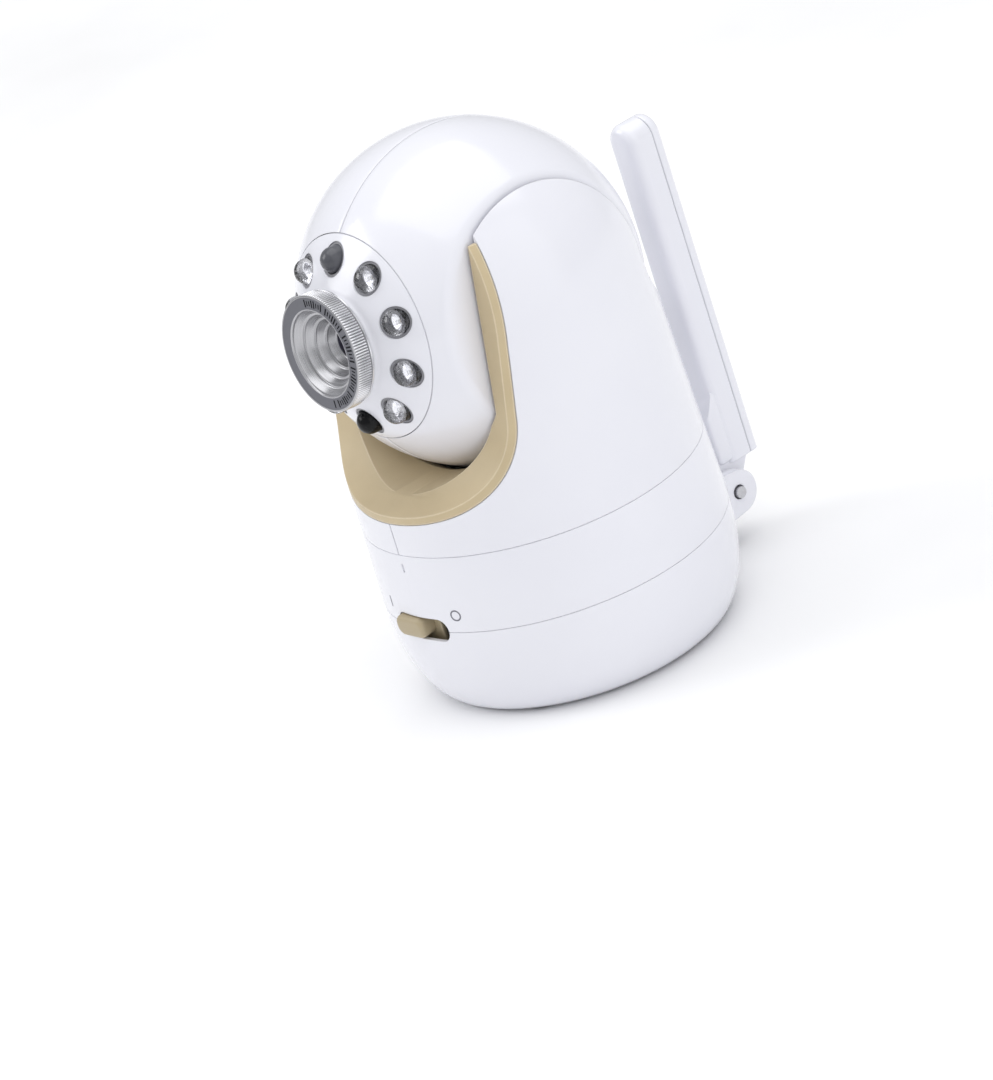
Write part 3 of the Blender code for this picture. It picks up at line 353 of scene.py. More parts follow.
def tint(material, source, first, second):
    """A colour between two, driven by a texture, on the base colour."""
    mix = material.node_tree.nodes.new("ShaderNodeMix")
    mix.data_type = "RGBA"
    mix.inputs["A"].default_value = (*first, 1)
    mix.inputs["B"].default_value = (*second, 1)
    material.node_tree.links.new(source, mix.inputs["Factor"])
    shader = material.node_tree.nodes["Principled BSDF"]
    material.node_tree.links.new(mix.outputs["Result"], shader.inputs["Base Color"])


def tint_by(material, source, low, high, stops):
    """A colour ramp on the base colour. Each stop is (value, grey level), over the range low to high."""
    nodes, links = material.node_tree.nodes, material.node_tree.links
    scaled = spread(material, source, 0, 1, low, high)
    ramp = nodes.new("ShaderNodeValToRGB")
    while len(ramp.color_ramp.elements) < len(stops):
        ramp.color_ramp.elements.new(0.5)
    for element, (value, grey) in zip(ramp.color_ramp.elements, stops):
        element.position = (value - low) / (high - low)
        element.color = (grey, grey, grey * 1.035, 1)
    links.new(scaled, ramp.inputs["Fac"])
    links.new(ramp.outputs["Color"], nodes["Principled BSDF"].inputs["Base Color"])


def light_edges(material, colour, edge, strength):
    """Lightens the base colour along sharp edges, where moulded plastic catches the light."""
    nodes, links = material.node_tree.nodes, material.node_tree.links
    geometry = nodes.new("ShaderNodeNewGeometry")
    dot = nodes.new("ShaderNodeVectorMath")
    dot.operation = "DOT_PRODUCT"
    links.new(edge_normal(material, edge), dot.inputs[0])
    links.new(geometry.outputs["Normal"], dot.inputs[1])
    mask = spread(material, dot.outputs["Value"], 1, 0, 0.93, 0.999)
    shader = nodes["Principled BSDF"]
    under = shader.inputs["Base Color"].links[0].from_socket
    mix = nodes.new("ShaderNodeMix")
    mix.data_type = "RGBA"
    links.new(mask, mix.inputs["Factor"])
    links.new(under, mix.inputs["A"])
    mix.inputs["B"].default_value = (*[min(1, c + strength) for c in colour], 1)
    links.new(mix.outputs["Result"], shader.inputs["Base Color"])


def drive_roughness(material, source, low, high):
    shader = material.node_tree.nodes["Principled BSDF"]
    material.node_tree.links.new(spread(material, source, low, high), shader.inputs["Roughness"])


def edge_normal(material, radius):
    """The surface's normal, with edges that look rounded to a radius."""
    bevel = material.node_tree.nodes.new("ShaderNodeBevel")
    bevel.samples = BEVEL_SAMPLES
    bevel.inputs["Radius"].default_value = radius
    return bevel.outputs["Normal"]


def surface(material, height, distance, edge=0.0):
    """Bump from a texture, over edges that look rounded to the radius edge."""
    nodes, links = material.node_tree.nodes, material.node_tree.links
    bump = nodes.new("ShaderNodeBump")
    bump.inputs["Strength"].default_value = 1.0
    bump.inputs["Distance"].default_value = distance
    links.new(height, bump.inputs["Height"])
    if edge:
        links.new(edge_normal(material, edge), bump.inputs["Normal"])
    links.new(bump.outputs["Normal"], nodes["Principled BSDF"].inputs["Normal"])


# ---- materials ----
def white_plastic():
    """Glossy moulded ABS: faint cool clouding, orange peel, and rounded edges."""
    made = shader_material("white_gloss", (0.86, 0.865, 0.93), 0.2, Coat_Weight=0.25, Coat_Roughness=0.06,
                           IOR=1.5)
    tint(made, spread(made, noise(made, 40), 0, 1), (0.80, 0.803, 0.86), (0.82, 0.823, 0.875))
    drive_roughness(made, noise(made, 900, 5), 0.16, 0.26)
    surface(made, noise(made, 700, 2), 0.004 * MM, edge=0.25 * MM)
    return made


def tan_plastic(name="tan_satin", light=(0.585, 0.475, 0.295), dark=(0.545, 0.44, 0.27), edge=0.5):
    """Satin moulded plastic with a fine spark-eroded grain."""
    made = shader_material(name, light, 0.45, IOR=1.48, Sheen_Weight=0.05)
    tint(made, spread(made, noise(made, 120, 4), 0, 1), dark, light)
    drive_roughness(made, noise(made, 2500, 3), 0.38, 0.52)
    surface(made, noise(made, 5200, 2), 0.012 * MM, edge=edge * MM)
    light_edges(made, light, edge * 0.9 * MM, 0.22)
    return made


def turned_aluminium():
    """Bright aluminium with fine lathe lines round its own axis. Its colour holds painted shade and
    highlight: mid grey inside the mouth and on the flat faces, darker in the knurl's grooves, near white on
    the knurl's crests and the bead.
    """
    made = shader_material("hood_metal", (0.80, 0.80, 0.83), 0.25, 1.0)
    radius, _height = lathe_radius(made)
    inside, groove, crest = 0.9 * HOOD_R, HOOD_R - 0.22 * MM, HOOD_R - 0.06 * MM
    # painted shade and highlight by radius: mid grey inside and on the faces, darker in the knurl's grooves,
    # near white on its crests and the bead
    tint_by(made, radius, 0, 1.02 * HOOD_R, [(0, 0.46), (inside, 0.46), (groove, 0.40), (crest, 0.90)])
    lines = lathe_lines(made, 9000)
    drive_roughness(made, lines, 0.24, 0.36)
    surface(made, lines, 0.002 * MM)
    return made


def anodised_face():
    """The satin grey ring on the front of the hood."""
    made = shader_material("hood_face_grey", (0.15, 0.152, 0.172), 0.42, 0.7)
    drive_roughness(made, noise(made, 4000, 3), 0.32, 0.46)
    surface(made, noise(made, 6000, 2), 0.006 * MM, edge=0.15 * MM)
    return made


def clear_epoxy():
    """The water-clear case of a lamp."""
    return shader_material("lamp_clear", (0.97, 0.975, 1.0), 0.02, IOR=1.5, Transmission_Weight=1.0)


def bright_cup():
    """A lamp's inside: a hammered mirror in the middle and grey round it."""
    made = shader_material("lamp_cup", (0.86, 0.86, 0.88), 0.12, 1.0)
    radius, _height = lathe_radius(made)
    tint_by(made, radius, 0, LAMP_R, [(0, 0.97), (CUP_R, 0.97), (1.2 * CUP_R, 0.42), (LAMP_R, 0.34)])
    drive_roughness(made, noise(made, 3000, 3), 0.10, 0.34)
    surface(made, noise(made, 2400, 3), 0.07 * MM)
    return made


def simple(name, colour, rough, metallic=0.0, grain=2500, depth=0.008, spread_by=0.06, **sockets):
    """A plain moulded, rolled or printed surface: clouded colour, uneven gloss and a fine grain."""
    made = shader_material(name, colour, rough, metallic, **sockets)
    lighter = tuple(min(1, c * 1.12 + 0.004) for c in colour)
    tint(made, spread(made, noise(made, grain / 12, 3), 0, 1), colour, lighter)
    drive_roughness(made, noise(made, grain, 3), max(0.02, rough - spread_by), min(1, rough + spread_by))
    surface(made, noise(made, grain * 1.6, 2), depth * MM)
    return made


def coated_glass():
    """The dark front element with a violet coating."""
    return shader_material("lens_glass", (0.012, 0.016, 0.035), 0.03, IOR=1.6, Coat_Weight=1.0,
                           Coat_Roughness=0.01, Coat_Tint=(0.75, 0.6, 1.0, 1))


def circuit_board():
    """Green solder mask with copper traces showing through."""
    made = shader_material("board_green", (0.02, 0.16, 0.06), 0.35, Coat_Weight=0.4)
    nodes, links = made.node_tree.nodes, made.node_tree.links
    where = nodes.new("ShaderNodeTexCoord")
    traces = nodes.new("ShaderNodeTexBrick")
    traces.inputs["Scale"].default_value = 260
    traces.inputs["Mortar Size"].default_value = 0.03
    links.new(where.outputs["Object"], traces.inputs["Vector"])
    tint(made, traces.outputs["Fac"], (0.02, 0.15, 0.055), (0.08, 0.30, 0.10))
    drive_roughness(made, noise(made, 1500), 0.28, 0.42)
    surface(made, traces.outputs["Fac"], 0.02 * MM)
    return made


WHITE = white_plastic()
TAN = tan_plastic()
TAN_KNOB = tan_plastic("tan_knob", (0.47, 0.39, 0.255), (0.43, 0.355, 0.225), edge=0.35)
METAL = turned_aluminium()
FACE = anodised_face()
EPOXY = clear_epoxy()
CUP = bright_cup()
GLASS = coated_glass()
BOARD = circuit_board()
LENS_BLACK = simple("lens_black", (0.012, 0.012, 0.014), 0.32)
SENSOR_GREY = simple("sensor_grey", (0.085, 0.087, 0.10), 0.18, IOR=1.42, depth=0.002)
SENSOR_BLACK = simple("sensor_black", (0.006, 0.006, 0.007), 0.16, IOR=1.27, depth=0.002)
RUBBER = simple("foot_rubber", (0.05, 0.05, 0.055), 0.75, depth=0.02)
STEEL = simple("steel", (0.52, 0.52, 0.54), 0.3, 1.0)
NYLON = simple("nylon", (0.78, 0.77, 0.71), 0.45)
DARK = simple("dark_plastic", (0.03, 0.03, 0.032), 0.5)
SLEEVE = simple("sleeve_grey", (0.22, 0.22, 0.24), 0.4)
PRINT = simple("print_grey", (0.16, 0.16, 0.19), 0.5, depth=0.001)
TICK = simple("print_black", (0.006, 0.006, 0.008), 0.7, depth=0.001, Specular_IOR_Level=0.15)

SLOT_MATERIALS = {
    "white_gloss": WHITE, "tan_satin": TAN, "hood_metal": METAL, "lamp_clear": EPOXY,
    "sensor_grey": SENSOR_GREY, "sensor_black": SENSOR_BLACK, "lens_black": LENS_BLACK,
    "lens_glass": GLASS, "foot_rubber": RUBBER, "board_green": BOARD, "steel": STEEL, "nylon": NYLON,
    "dark_plastic": DARK,
}


def piece(obj, name, material, body, slot, *nodes, place=None, sharp=32):
    """Names, paints and places a piece, hands it to its body, and hides the CAD nodes it stands for."""
    obj.name = name
    obj.data.name = name
    if place:
        obj.matrix_world = place
    obj.data.materials.clear()
    obj.data.materials.append(material)
    obj.data.shade_smooth()
    obj.data.set_sharp_from_angle(angle=math.radians(sharp))
    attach(obj, body)
    if nodes:
        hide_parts(*nodes)
    return obj


# ---- surfaces that several pieces share ----
def turret_solid(inset, bottom):
    """The turret's outer form as a solid, drawn in by inset and cut level at the bottom."""
    radius = DOME_R - inset
    dome = [(radius * math.sin(math.radians(a)), HEAD_Z + radius * math.cos(math.radians(a)))
            for a in range(0, 91, 2)]
    slope = (SEAM_R - DOME_R) / (HEAD_Z - SEAM_Z)
    foot_r = SEAM_R - inset + slope * (SEAM_Z - bottom)
    return turned([*dome, *filleted([dome[-1], (foot_r, bottom), (0, bottom)], SEAM_EASE)[1:]])


def sheet_line(offset):
    """The bezel's back face from the side, as (y, z) points from the top down, moved forwards by offset."""
    radius = BEND_R - offset
    steps = 30
    bend = [BEZEL_LEAN + (BEND_END - BEZEL_LEAN) * i / steps for i in range(steps + 1)]
    centre_y = LIP_Y - BEND_R * math.cos(BEND_END)
    centre_z = LIP_Z + BEND_R * math.sin(BEND_END)
    curve = [(centre_y + radius * math.cos(a), centre_z - radius * math.sin(a)) for a in bend]
    rise = HEAD_Z + FAR - curve[0][1]
    top = (curve[0][0] + rise * math.tan(BEZEL_LEAN), curve[0][1] + rise)
    run = 12 * MM
    front = (curve[-1][0] - run, curve[-1][1] - run / math.tan(BEND_END))
    return [top, *curve, front]


def in_front_of_sheet(offset):
    """All the space before the bezel's back face moved forwards by offset."""
    line = sheet_line(offset)
    return extruded([*line, (line[-1][0], line[0][1])], -FAR, FAR, "X")


def mouth_prism(grow, front, back):
    """The mouth's outline, grown by a length, pushed from front to back."""
    half = MOUTH_HALF + grow
    low = MOUTH_BOTTOM - grow
    centre = MOUTH_BOTTOM + MOUTH_ROUND
    high = HEAD_Z + FAR
    curve = [(half * math.cos(math.radians(a)), centre - (centre - low) * math.sin(math.radians(a)))
             for a in range(0, 181, 3)]
    return extruded([(half, high), *curve, (-half, high)], front, back, "Y")


def head_clearance():
    """The room that the head turns in."""
    return keep_inside(ball((0, 0, HEAD_Z), HEAD_R + 0.8 * MM), box((-EAR_X, -FAR, 0), (EAR_X, FAR, ABOVE)))


# ---- base ----
BASE_SCREWS = [(26 * MM * math.cos(a), 26 * MM * math.sin(a)) for a in map(math.radians, (60, 180, 300))]
JACK_X, JACK_Z = -11 * MM, 12 * MM
BUTTON_Y = 25.2 * MM
LUG_IN, LUG_OUT, LUG_R = 3.5 * MM, 5.7 * MM, 4.5 * MM


def switch_opening():
    """The stadium slot that the slider stands in."""
    half, round_r = SWITCH_HALF, SWITCH_HIGH / 2
    right = arc((half - round_r, SWITCH_Z), round_r, -90, 90, 25)
    left = arc((-half + round_r, SWITCH_Z), round_r, 90, 270, 25)
    return extruded([*right, *left], -FAR, -28 * MM, "Y")


def switch_pocket():
    """The room behind the slot, where the wall is thin."""
    half, low, high = 9.4 * MM, PARTING_Z - 4.2 * MM, PARTING_Z + 4.2 * MM
    return keep_inside(rod((0, 0, low), (0, 0, high), THIN_WALL_R, ROUND),
                       box((-half, -FAR, low - MM), (half, -29 * MM, high + MM)))


def base_shell_skin():
    """The upper moulding, with the deck that the turret turns on."""
    top, low = SEAM_Z - SEAM_GAP, PARTING_Z + SEAM_GAP
    deck = top - DECK_DROP
    outline = [(HUB_HOLE_R, deck), (SEAM_R - 3 * MM, deck), (SEAM_R - 2.6 * MM, top), (SEAM_R, top),
               (PARTING_R, low), (PARTING_R - WALL, low), (SEAM_R - WALL, deck - DECK_T),
               (HUB_HOLE_R, deck - DECK_T)]
    shell = turned(filleted(outline, SEAM_EASE, ring=True), ring=True)
    slit = rounded_box((-0.22 * MM, -FAR, SEAM_Z - 3.7 * MM), (0.22 * MM, -34 * MM, SEAM_Z - 1.9 * MM),
                       0.15 * MM)
    shell = cut(shell, switch_opening(), switch_pocket(), slit)
    piece(shell, "base_shell_skin", WHITE, "base", "white_gloss", "base_shell")


def cover_bowl():
    """The lower moulding before its holes: a bowl with a recess for the foot pad under it."""
    bottom, high = UNDERSIDE_Z, PARTING_Z - SEAM_GAP
    outer = [(PARTING_R, high), (34.9 * MM, 16 * MM), (34.3 * MM, 11 * MM), (33.1 * MM, 6.4 * MM),
             (31.6 * MM, 3.2 * MM), (30.2 * MM, 1.3 * MM), (COVER_FOOT_R, bottom)]
    recess = [(PAD_RECESS_R, bottom), (PAD_RECESS_R, PAD_RECESS), (0, PAD_RECESS)]
    inner = [(0, COVER_FLOOR), (27.4 * MM, COVER_FLOOR), (31.2 * MM, 7.4 * MM), (PARTING_R - WALL, high)]
    rounded = filleted(outer, 2.6 * MM, count=6)
    edge = filleted([inner[-1], (PARTING_R, high), rounded[1]], SEAM_EASE)
    rim = filleted([rounded[-2], (COVER_FOOT_R, bottom), *recess], 0.3 * MM)
    return turned([*inner, *edge[1:-1], *rounded[1:-1], *rim[1:]])


def base_cover_skin():
    """The lower moulding, with the antenna's lugs, the inlet, and its screw and button holes."""
    bowl = cover_bowl()
    root_y, reach = 30.9 * MM, LUG_R + 1.2 * MM
    for side in (-1, 1):
        near, far = sorted((side * LUG_IN, side * LUG_OUT))
        outline = [(root_y, PIVOT_Z + reach), *arc((PIVOT_Y, PIVOT_Z), LUG_R, 90, -90, 25),
                   (root_y, PIVOT_Z - reach)]
        bowl = join(bowl, extruded(outline, near, far, "X"))
    jack = extruded([(JACK_X + a, JACK_Z + b) for a, b in rounded_plate(4.1 * MM, 1.8 * MM, 1.2 * MM)],
                    26 * MM, 38 * MM, "Y")
    pin_hole = rod((-8 * MM, PIVOT_Y, PIVOT_Z), (8 * MM, PIVOT_Y, PIVOT_Z), PIN_HOLE_R)
    cutters = [switch_opening(), switch_pocket(), jack, pin_hole]
    for x, y in BASE_SCREWS:
        cutters.append(rod((x, y, -MM), (x, y, 2.1 * MM), 2.7 * MM))
        cutters.append(rod((x, y, MM), (x, y, 5 * MM), 1.5 * MM))
    cutters.append(rod((0, -BUTTON_Y, -MM), (0, -BUTTON_Y, 5 * MM), 2.2 * MM))
    piece(cut(bowl, *cutters), "base_cover_skin", WHITE, "base", "white_gloss", "base_cover")


def on_base_wall(x, z, proud):
    """A point on the front of the base's upper wall."""
    share = (SEAM_Z - z) / (SEAM_Z - PARTING_Z)
    radius = SEAM_R + (PARTING_R - SEAM_R) * share + proud
    return (x, -math.sqrt(radius ** 2 - x ** 2), z)


def wall_patch(outline, hole=None):
    """A thin printed mark that follows the base's wall. Its outline and hole are (x, z) points."""
    bm = bmesh.new()
    inner = hole or [(sum(p[0] for p in outline) / len(outline), sum(p[1] for p in outline) / len(outline))]
    layers = []
    for proud in (0.03 * MM, -0.05 * MM):
        rings = [[on_base_wall(x, z, proud) for x, z in ring] for ring in (outline, inner)]
        layers.append([[bm.verts.new(place) for place in ring] for ring in rings])
    count = len(outline)
    for i in range(count):
        j = (i + 1) % count
        for outer_ring, inner_ring in layers:
            a, b = inner_ring[j % len(inner_ring)], inner_ring[i % len(inner_ring)]
            bm.faces.new(list(dict.fromkeys((outer_ring[i], outer_ring[j], a, b))))
        (top, top_in), (low, low_in) = layers
        bm.faces.new((top[i], top[j], low[j], low[i]))
        if hole:
            bm.faces.new((top_in[j], top_in[i], low_in[i], low_in[j]))
    return from_bmesh("mark", bm)


def base_marks():
    """The on bar and the off ring beside the slider."""
    off = (10.2 * MM, SEAM_Z - 12.1 * MM)
    ring = wall_patch(arc(off, 1.15 * MM, 0, 350, 36), arc(off, 0.87 * MM, 0, 350, 36))
    piece(ring, "mark_off", PRINT, "base", "dark_plastic")
    x, z = -9.4 * MM, SEAM_Z - 11.75 * MM
    bar = [(x + a, z + b) for a, b in rounded_plate(0.16 * MM, 1.15 * MM, 0.1 * MM, 4)]
    piece(wall_patch(bar), "mark_on", PRINT, "base", "dark_plastic")
    slit = box((-0.3 * MM, -33.9 * MM, SEAM_Z - 3.8 * MM), (0.3 * MM, -33.2 * MM, SEAM_Z - 1.8 * MM))
    piece(slit, "slit_back", DARK, "base", "dark_plastic")


def foot_pad_skin():
    """The rubber pad with raised rings underneath."""
    pad_top, pad_r, groove = 1.3 * MM, 22 * MM, 0.35 * MM
    ridges = []
    for ring_r in range(18, 3, -3):
        ridges += [((ring_r + 1.2) * MM, 0), ((ring_r + 0.8) * MM, groove), ((ring_r - 0.8) * MM, groove),
                   ((ring_r - 1.2) * MM, 0)]
    outline = [(0, pad_top), (pad_r, pad_top), (pad_r, 0), *ridges, (0, 0)]
    piece(turned(filleted(outline, 0.3 * MM)), "foot_pad_skin", RUBBER, "base", "foot_rubber", "foot_pad")


def knob_form(centre_x, face):
    """The slider's knob: one rounded outline after another, from its eased face back to the flange."""
    half, tall, corner = 4.1 * MM, 2.1 * MM, 1.7 * MM
    layers = [(face, 0.85), (face + 0.09 * MM, 0.5), (face + 0.3 * MM, 0.2), (face + 0.6 * MM, 0.05),
              (face + 0.9 * MM, 0.0), (FLANGE_FRONT, 0.0)]
    bm = bmesh.new()
    loops = []
    for y, inset in layers:
        shape = rounded_plate(half - inset * MM, tall - inset * MM, corner - inset * 0.6 * MM)
        loops.append([bm.verts.new((centre_x + a, y, SWITCH_Z + b)) for a, b in shape])
    skin_over(bm, loops)
    return from_bmesh("knob", bm)


def slider_skins():
    """The tan knob, and the flange and tang behind it."""
    low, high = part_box("power_slider")
    centre_x = (low.x + high.x) / 2
    knob = knob_form(centre_x, low.y)
    back, flange_half, tang_half = FLANGE_FRONT + FLANGE_T, 3.8 * MM, 0.7 * MM
    flange = rounded_box((low.x, FLANGE_FRONT, PARTING_Z - flange_half),
                         (high.x, back, PARTING_Z + flange_half), 0.2 * MM)
    tang = box((centre_x - MM, back - 0.2 * MM, PARTING_Z - tang_half),
               (centre_x + MM, high.y, PARTING_Z + tang_half))
    piece(knob, "slider_knob", TAN_KNOB, "power_slider", "tan_satin", "power_slider")
    piece(join(flange, tang), "slider_flange", TAN_KNOB, "power_slider", "tan_satin")


def pair_button_cap():
    outline = [(0, 6.2 * MM), (1.2 * MM, 6.2 * MM), (1.2 * MM, 4.6 * MM), (2.8 * MM, 4.6 * MM),
               (2.8 * MM, 3.8 * MM), (1.9 * MM, 3.8 * MM), (1.9 * MM, 1.2 * MM), (1.1 * MM, 1.25 * MM),
               (0, 1.5 * MM)]
    button = turned(filleted(outline, 0.25 * MM), sides=SMALL)
    piece(button, "pair_button_cap", TAN_KNOB, "pair_button", "tan_satin", "pair_button",
          place=Matrix.Translation((0, -BUTTON_Y, 0)))


# ---- turret ----
def speaker_slots():
    """Four short slots each side of the seam, shorter towards the top and the bottom."""
    slots = []
    for side in (-1, 1):
        for row in range(4):
            near, far = sorted((side * 1.8 * MM, side * (7.6 - 0.9 * abs(row - 1.5)) * MM))
            z = SEAM_Z + (6.5 + 2.6 * row) * MM
            slots.append(rounded_box((near, 25 * MM, z), (far, FAR, z + 1.1 * MM), 0.5 * MM))
    return slots


def turret_skins():
    """The two white halves with their ears."""
    floor = SEAM_Z + SEAM_GAP
    shell = cut(turret_solid(0, floor), turret_solid(WALL, floor - 5 * MM))
    for side in (-1, 1):
        near, far = sorted((side * EAR_X, side * (EAR_X + EAR_WALL)))
        wall = box((near, -31 * MM, SEAM_Z + 3.4 * MM), (far, 31 * MM, HEAD_Z + 30 * MM))
        shell = join(shell, keep_inside(wall, turret_solid(0.5 * MM, floor - 5 * MM)))
    half, low, round_r = EAR_X, HEAD_Z - EAR_DROP, 9 * MM
    rear = extruded([(half, ABOVE), *arc((half - round_r, low + round_r), round_r, 0, -90, 20),
                     *arc((-half + round_r, low + round_r), round_r, -90, -180, 20), (-half, ABOVE)],
                    0, FAR, "Y")
    between = box((-half, -FAR, low + 14 * MM), (half, MM, ABOVE))
    shell = cut(shell, in_front_of_sheet(0), rear, between, head_clearance())
    shell = cut(shell, mouth_prism(TUNNEL_T + GAP, -FAR, TUNNEL_BACK + GAP))
    shell = cut(shell, *speaker_slots())
    for name, side in (("turret_shell_left", -1), ("turret_shell_right", 1)):
        near, far = sorted((-side * 50 * MM, side * GAP / 2.5))
        halved = cut(copy_of(shell), box((near, -0.1, 0), (far, 0.1, 0.2)))
        piece(halved, name + "_skin", WHITE, "turret", "white_gloss", name)
    bpy.data.objects.remove(shell)


def bezel_skin():
    """The tan frame round the mouth, bent forwards at the bottom, with a wall behind its opening."""
    front = GAP + BEZEL_T
    plate = cut(turret_solid(0, SEAM_Z + GAP), in_front_of_sheet(front))
    plate = keep_inside(plate, in_front_of_sheet(GAP / 2))
    tunnel = mouth_prism(TUNNEL_T, -FAR, TUNNEL_BACK)
    tunnel = keep_inside(tunnel, turret_solid(WALL + GAP, SEAM_Z + GAP))
    tunnel = cut(tunnel, in_front_of_sheet(front))
    ears_top = box((-FAR, -FAR, HEAD_Z + 17.9 * MM), (FAR, FAR, 0.2))
    skin = cut(join(plate, tunnel), mouth_prism(0, -45 * MM, MM), head_clearance(), ears_top)
    piece(skin, "mouth_bezel_skin", TAN, "turret", "tan_satin", "mouth_bezel")


# ---- head ----
def head_skins():
    """The two halves of the ball, with soft shoulders at their flat sides."""
    centre_x = HEAD_HALF - HEAD_SHOULDER
    centre_r = math.sqrt((HEAD_R - HEAD_SHOULDER) ** 2 - centre_x ** 2)
    lean = math.degrees(math.atan2(centre_x, centre_r))
    inner_lean = math.degrees(math.asin((HEAD_HALF - WALL) / (HEAD_R - WALL)))
    edge = 0.07 * MM
    crown = [(HEAD_R * math.cos(math.radians(a)), HEAD_R * math.sin(math.radians(a)))
             for a in [lean * i / 24 for i in range(23, 0, -1)]]
    inner = [((HEAD_R - WALL) * math.cos(math.radians(a)), (HEAD_R - WALL) * math.sin(math.radians(a)))
             for a in [inner_lean * i / 16 for i in range(1, 17)]]
    profile = [(5.9 * MM, HEAD_HALF), *arc((centre_r, centre_x), HEAD_SHOULDER, 90, lean, 12), *crown,
               (HEAD_R, 3 * edge), (HEAD_R - edge, edge), (HEAD_R - WALL, edge), *inner,
               (5.9 * MM, HEAD_HALF - WALL)]
    hole = rod((0, -5 * MM, 0), (0, -FAR, 0), PLATE_R + 0.12 * MM, ROUND)
    for name, side in (("head_shell_left", -1), ("head_shell_right", 1)):
        half = turned(profile, ring=True)
        half.data.transform(Matrix.Rotation(math.radians(side * 90), 4, "Y"))
        half = cut(half, copy_of(hole))
        half.data.transform(HEAD_FRAME)
        piece(half, name + "_skin", WHITE, "head", "white_gloss", name)
    bpy.data.objects.remove(hole)


def lamp_places():
    """Where the ten lamps and sensors stand on the plate, from the top round to the right."""
    angles = [2 * math.pi * i / LAMP_COUNT for i in range(LAMP_COUNT)]
    return [(LAMP_RING_R * math.sin(a), LAMP_RING_R * math.cos(a)) for a in angles]


def front_plate_skin():
    """The round plate: its collar, its dished face and the ten lamp holes with eased mouths."""
    rise, start = (math.degrees(math.asin(r / HEAD_R)) for r in (PLATE_R, 13.2 * MM))
    face = [(HEAD_R * math.sin(math.radians(a)), HEAD_R * math.cos(math.radians(a)))
            for a in [start + (rise - start) * i / 12 for i in range(13)]]
    inner_r = HEAD_R - WALL
    inner_end = math.degrees(math.asin(PLATE_R / inner_r))
    inner = [(inner_r * math.sin(math.radians(a)), inner_r * math.cos(math.radians(a)))
             for a in [inner_end + (15.2 - inner_end) * i / 8 for i in range(9)]]
    hole_r = HOOD_SPIGOT_R + GAP
    collar = [(hole_r, COLLAR_TOP), (10.5 * MM, COLLAR_TOP), (10.9 * MM, COLLAR_TOP - 1.0 * MM), face[0]]
    profile = [*filleted(collar, 0.7 * MM, count=7)[:-1], *face, *inner, (hole_r, inner[-1][1])]
    plate = turned(profile, ring=True)
    holes = [rod((x, y, 20 * MM), (x, y, FAR), LAMP_HOLE_R) for x, y in lamp_places()]
    piece(cut(plate, *holes), "front_plate_skin", WHITE, "head", "white_gloss", "front_plate",
          place=LENS_FRAME)


def lamp_sleeve(x, y):
    """The grey lining of a lamp hole."""
    sleeve = tube((x, y, 25 * MM), (x, y, 33 * MM), LAMP_HOLE_R - 0.02 * MM, LAMP_R + 0.04 * MM)
    return keep_inside(sleeve, ball((0, 0, 0), HEAD_R - 0.15 * MM))


def lamp_inside(number, where):
    """The cup and the chip that show through a clear lamp."""
    disc_r, top = LAMP_R - 0.12 * MM, LAMP_TIP - LAMP_R - 0.35 * MM
    deep, under, chip_half = 0.9 * MM, 0.4 * MM, 0.28 * MM
    cup = turned([(disc_r, top), (CUP_R, top), (0.45 * CUP_R, top - deep), (0, top - deep),
                  (0, top - deep - under), (disc_r, top - deep - under)], sides=18)
    piece(cup, f"ir_lamp_{number}_cup", CUP, "head", "steel", place=where)
    chip = rounded_box((-chip_half, -chip_half, top - 0.88 * MM), (chip_half, chip_half, top - 0.5 * MM),
                       0.05 * MM)
    piece(chip, f"ir_lamp_{number}_chip", TAN_KNOB, "head", "tan_satin", place=where)


def lamp_pieces():
    """Eight clear lamps, a grey light sensor on top and a black dome below."""
    neck, rim_r = 24.5 * MM, 2.75 * MM
    dome = arc((0, LAMP_TIP - LAMP_R), LAMP_R, 90, 0, 14)
    profile = [(0, LAMP_TIP), *dome[1:], (LAMP_R, neck), (rim_r, neck), (rim_r, LAMP_FOOT), (0, LAMP_FOOT)]
    number = 0
    for index, (x, y) in enumerate(lamp_places()):
        where = LENS_FRAME @ Matrix.Translation((x, y, 0))
        piece(lamp_sleeve(x, y), f"lamp_sleeve_{index}", SLEEVE, "head", "dark_plastic", place=LENS_FRAME)
        body = turned(profile, sides=SMALL)
        if index == 0:
            piece(body, "light_sensor_dome", SENSOR_GREY, "head", "sensor_grey", "light_sensor", place=where)
        elif index == LAMP_COUNT // 2:
            piece(body, "night_sensor_dome", SENSOR_BLACK, "head", "sensor_black", "night_sensor",
                  place=where)
        else:
            number += 1
            piece(body, f"ir_lamp_{number}_body", EPOXY, "head", "lamp_clear", f"ir_lamp_{number}",
                  place=where)
            lamp_inside(number, where)


# ---- lens ----
def lens_skins():
    """The threaded barrel and the front element, which is a low dome."""
    barrel_r, front, back = 5.6 * MM, 29.0 * MM, 15.0 * MM
    bore_r, seat_r, seat = 3.2 * MM, 4.4 * MM, 26.6 * MM
    outline = [(seat_r, front), (barrel_r, front), (barrel_r, back), (bore_r, back), (bore_r, 26.0 * MM),
               (seat_r, seat)]
    barrel = turned(filleted(outline, 0.2 * MM, ring=True), ring=True, sides=96)
    piece(barrel, "lens_barrel_skin", LENS_BLACK, "lens_barrel", "lens_black", "lens_barrel",
          place=LENS_FRAME)
    glass_r, curve, crown_tip, glass_back = 4.3 * MM, 6.2 * MM, 28.6 * MM, 26.9 * MM
    widest = math.degrees(math.asin(glass_r / curve))
    leans = [math.radians(widest * i / 16) for i in range(17)]
    crown = [(curve * math.sin(a), crown_tip - curve * (1 - math.cos(a))) for a in leans]
    element = turned([*crown, (glass_r, glass_back), (0, glass_back)], sides=96)
    piece(element, "lens_glass_skin", GLASS, "lens_barrel", "lens_glass", "lens_glass", place=LENS_FRAME)


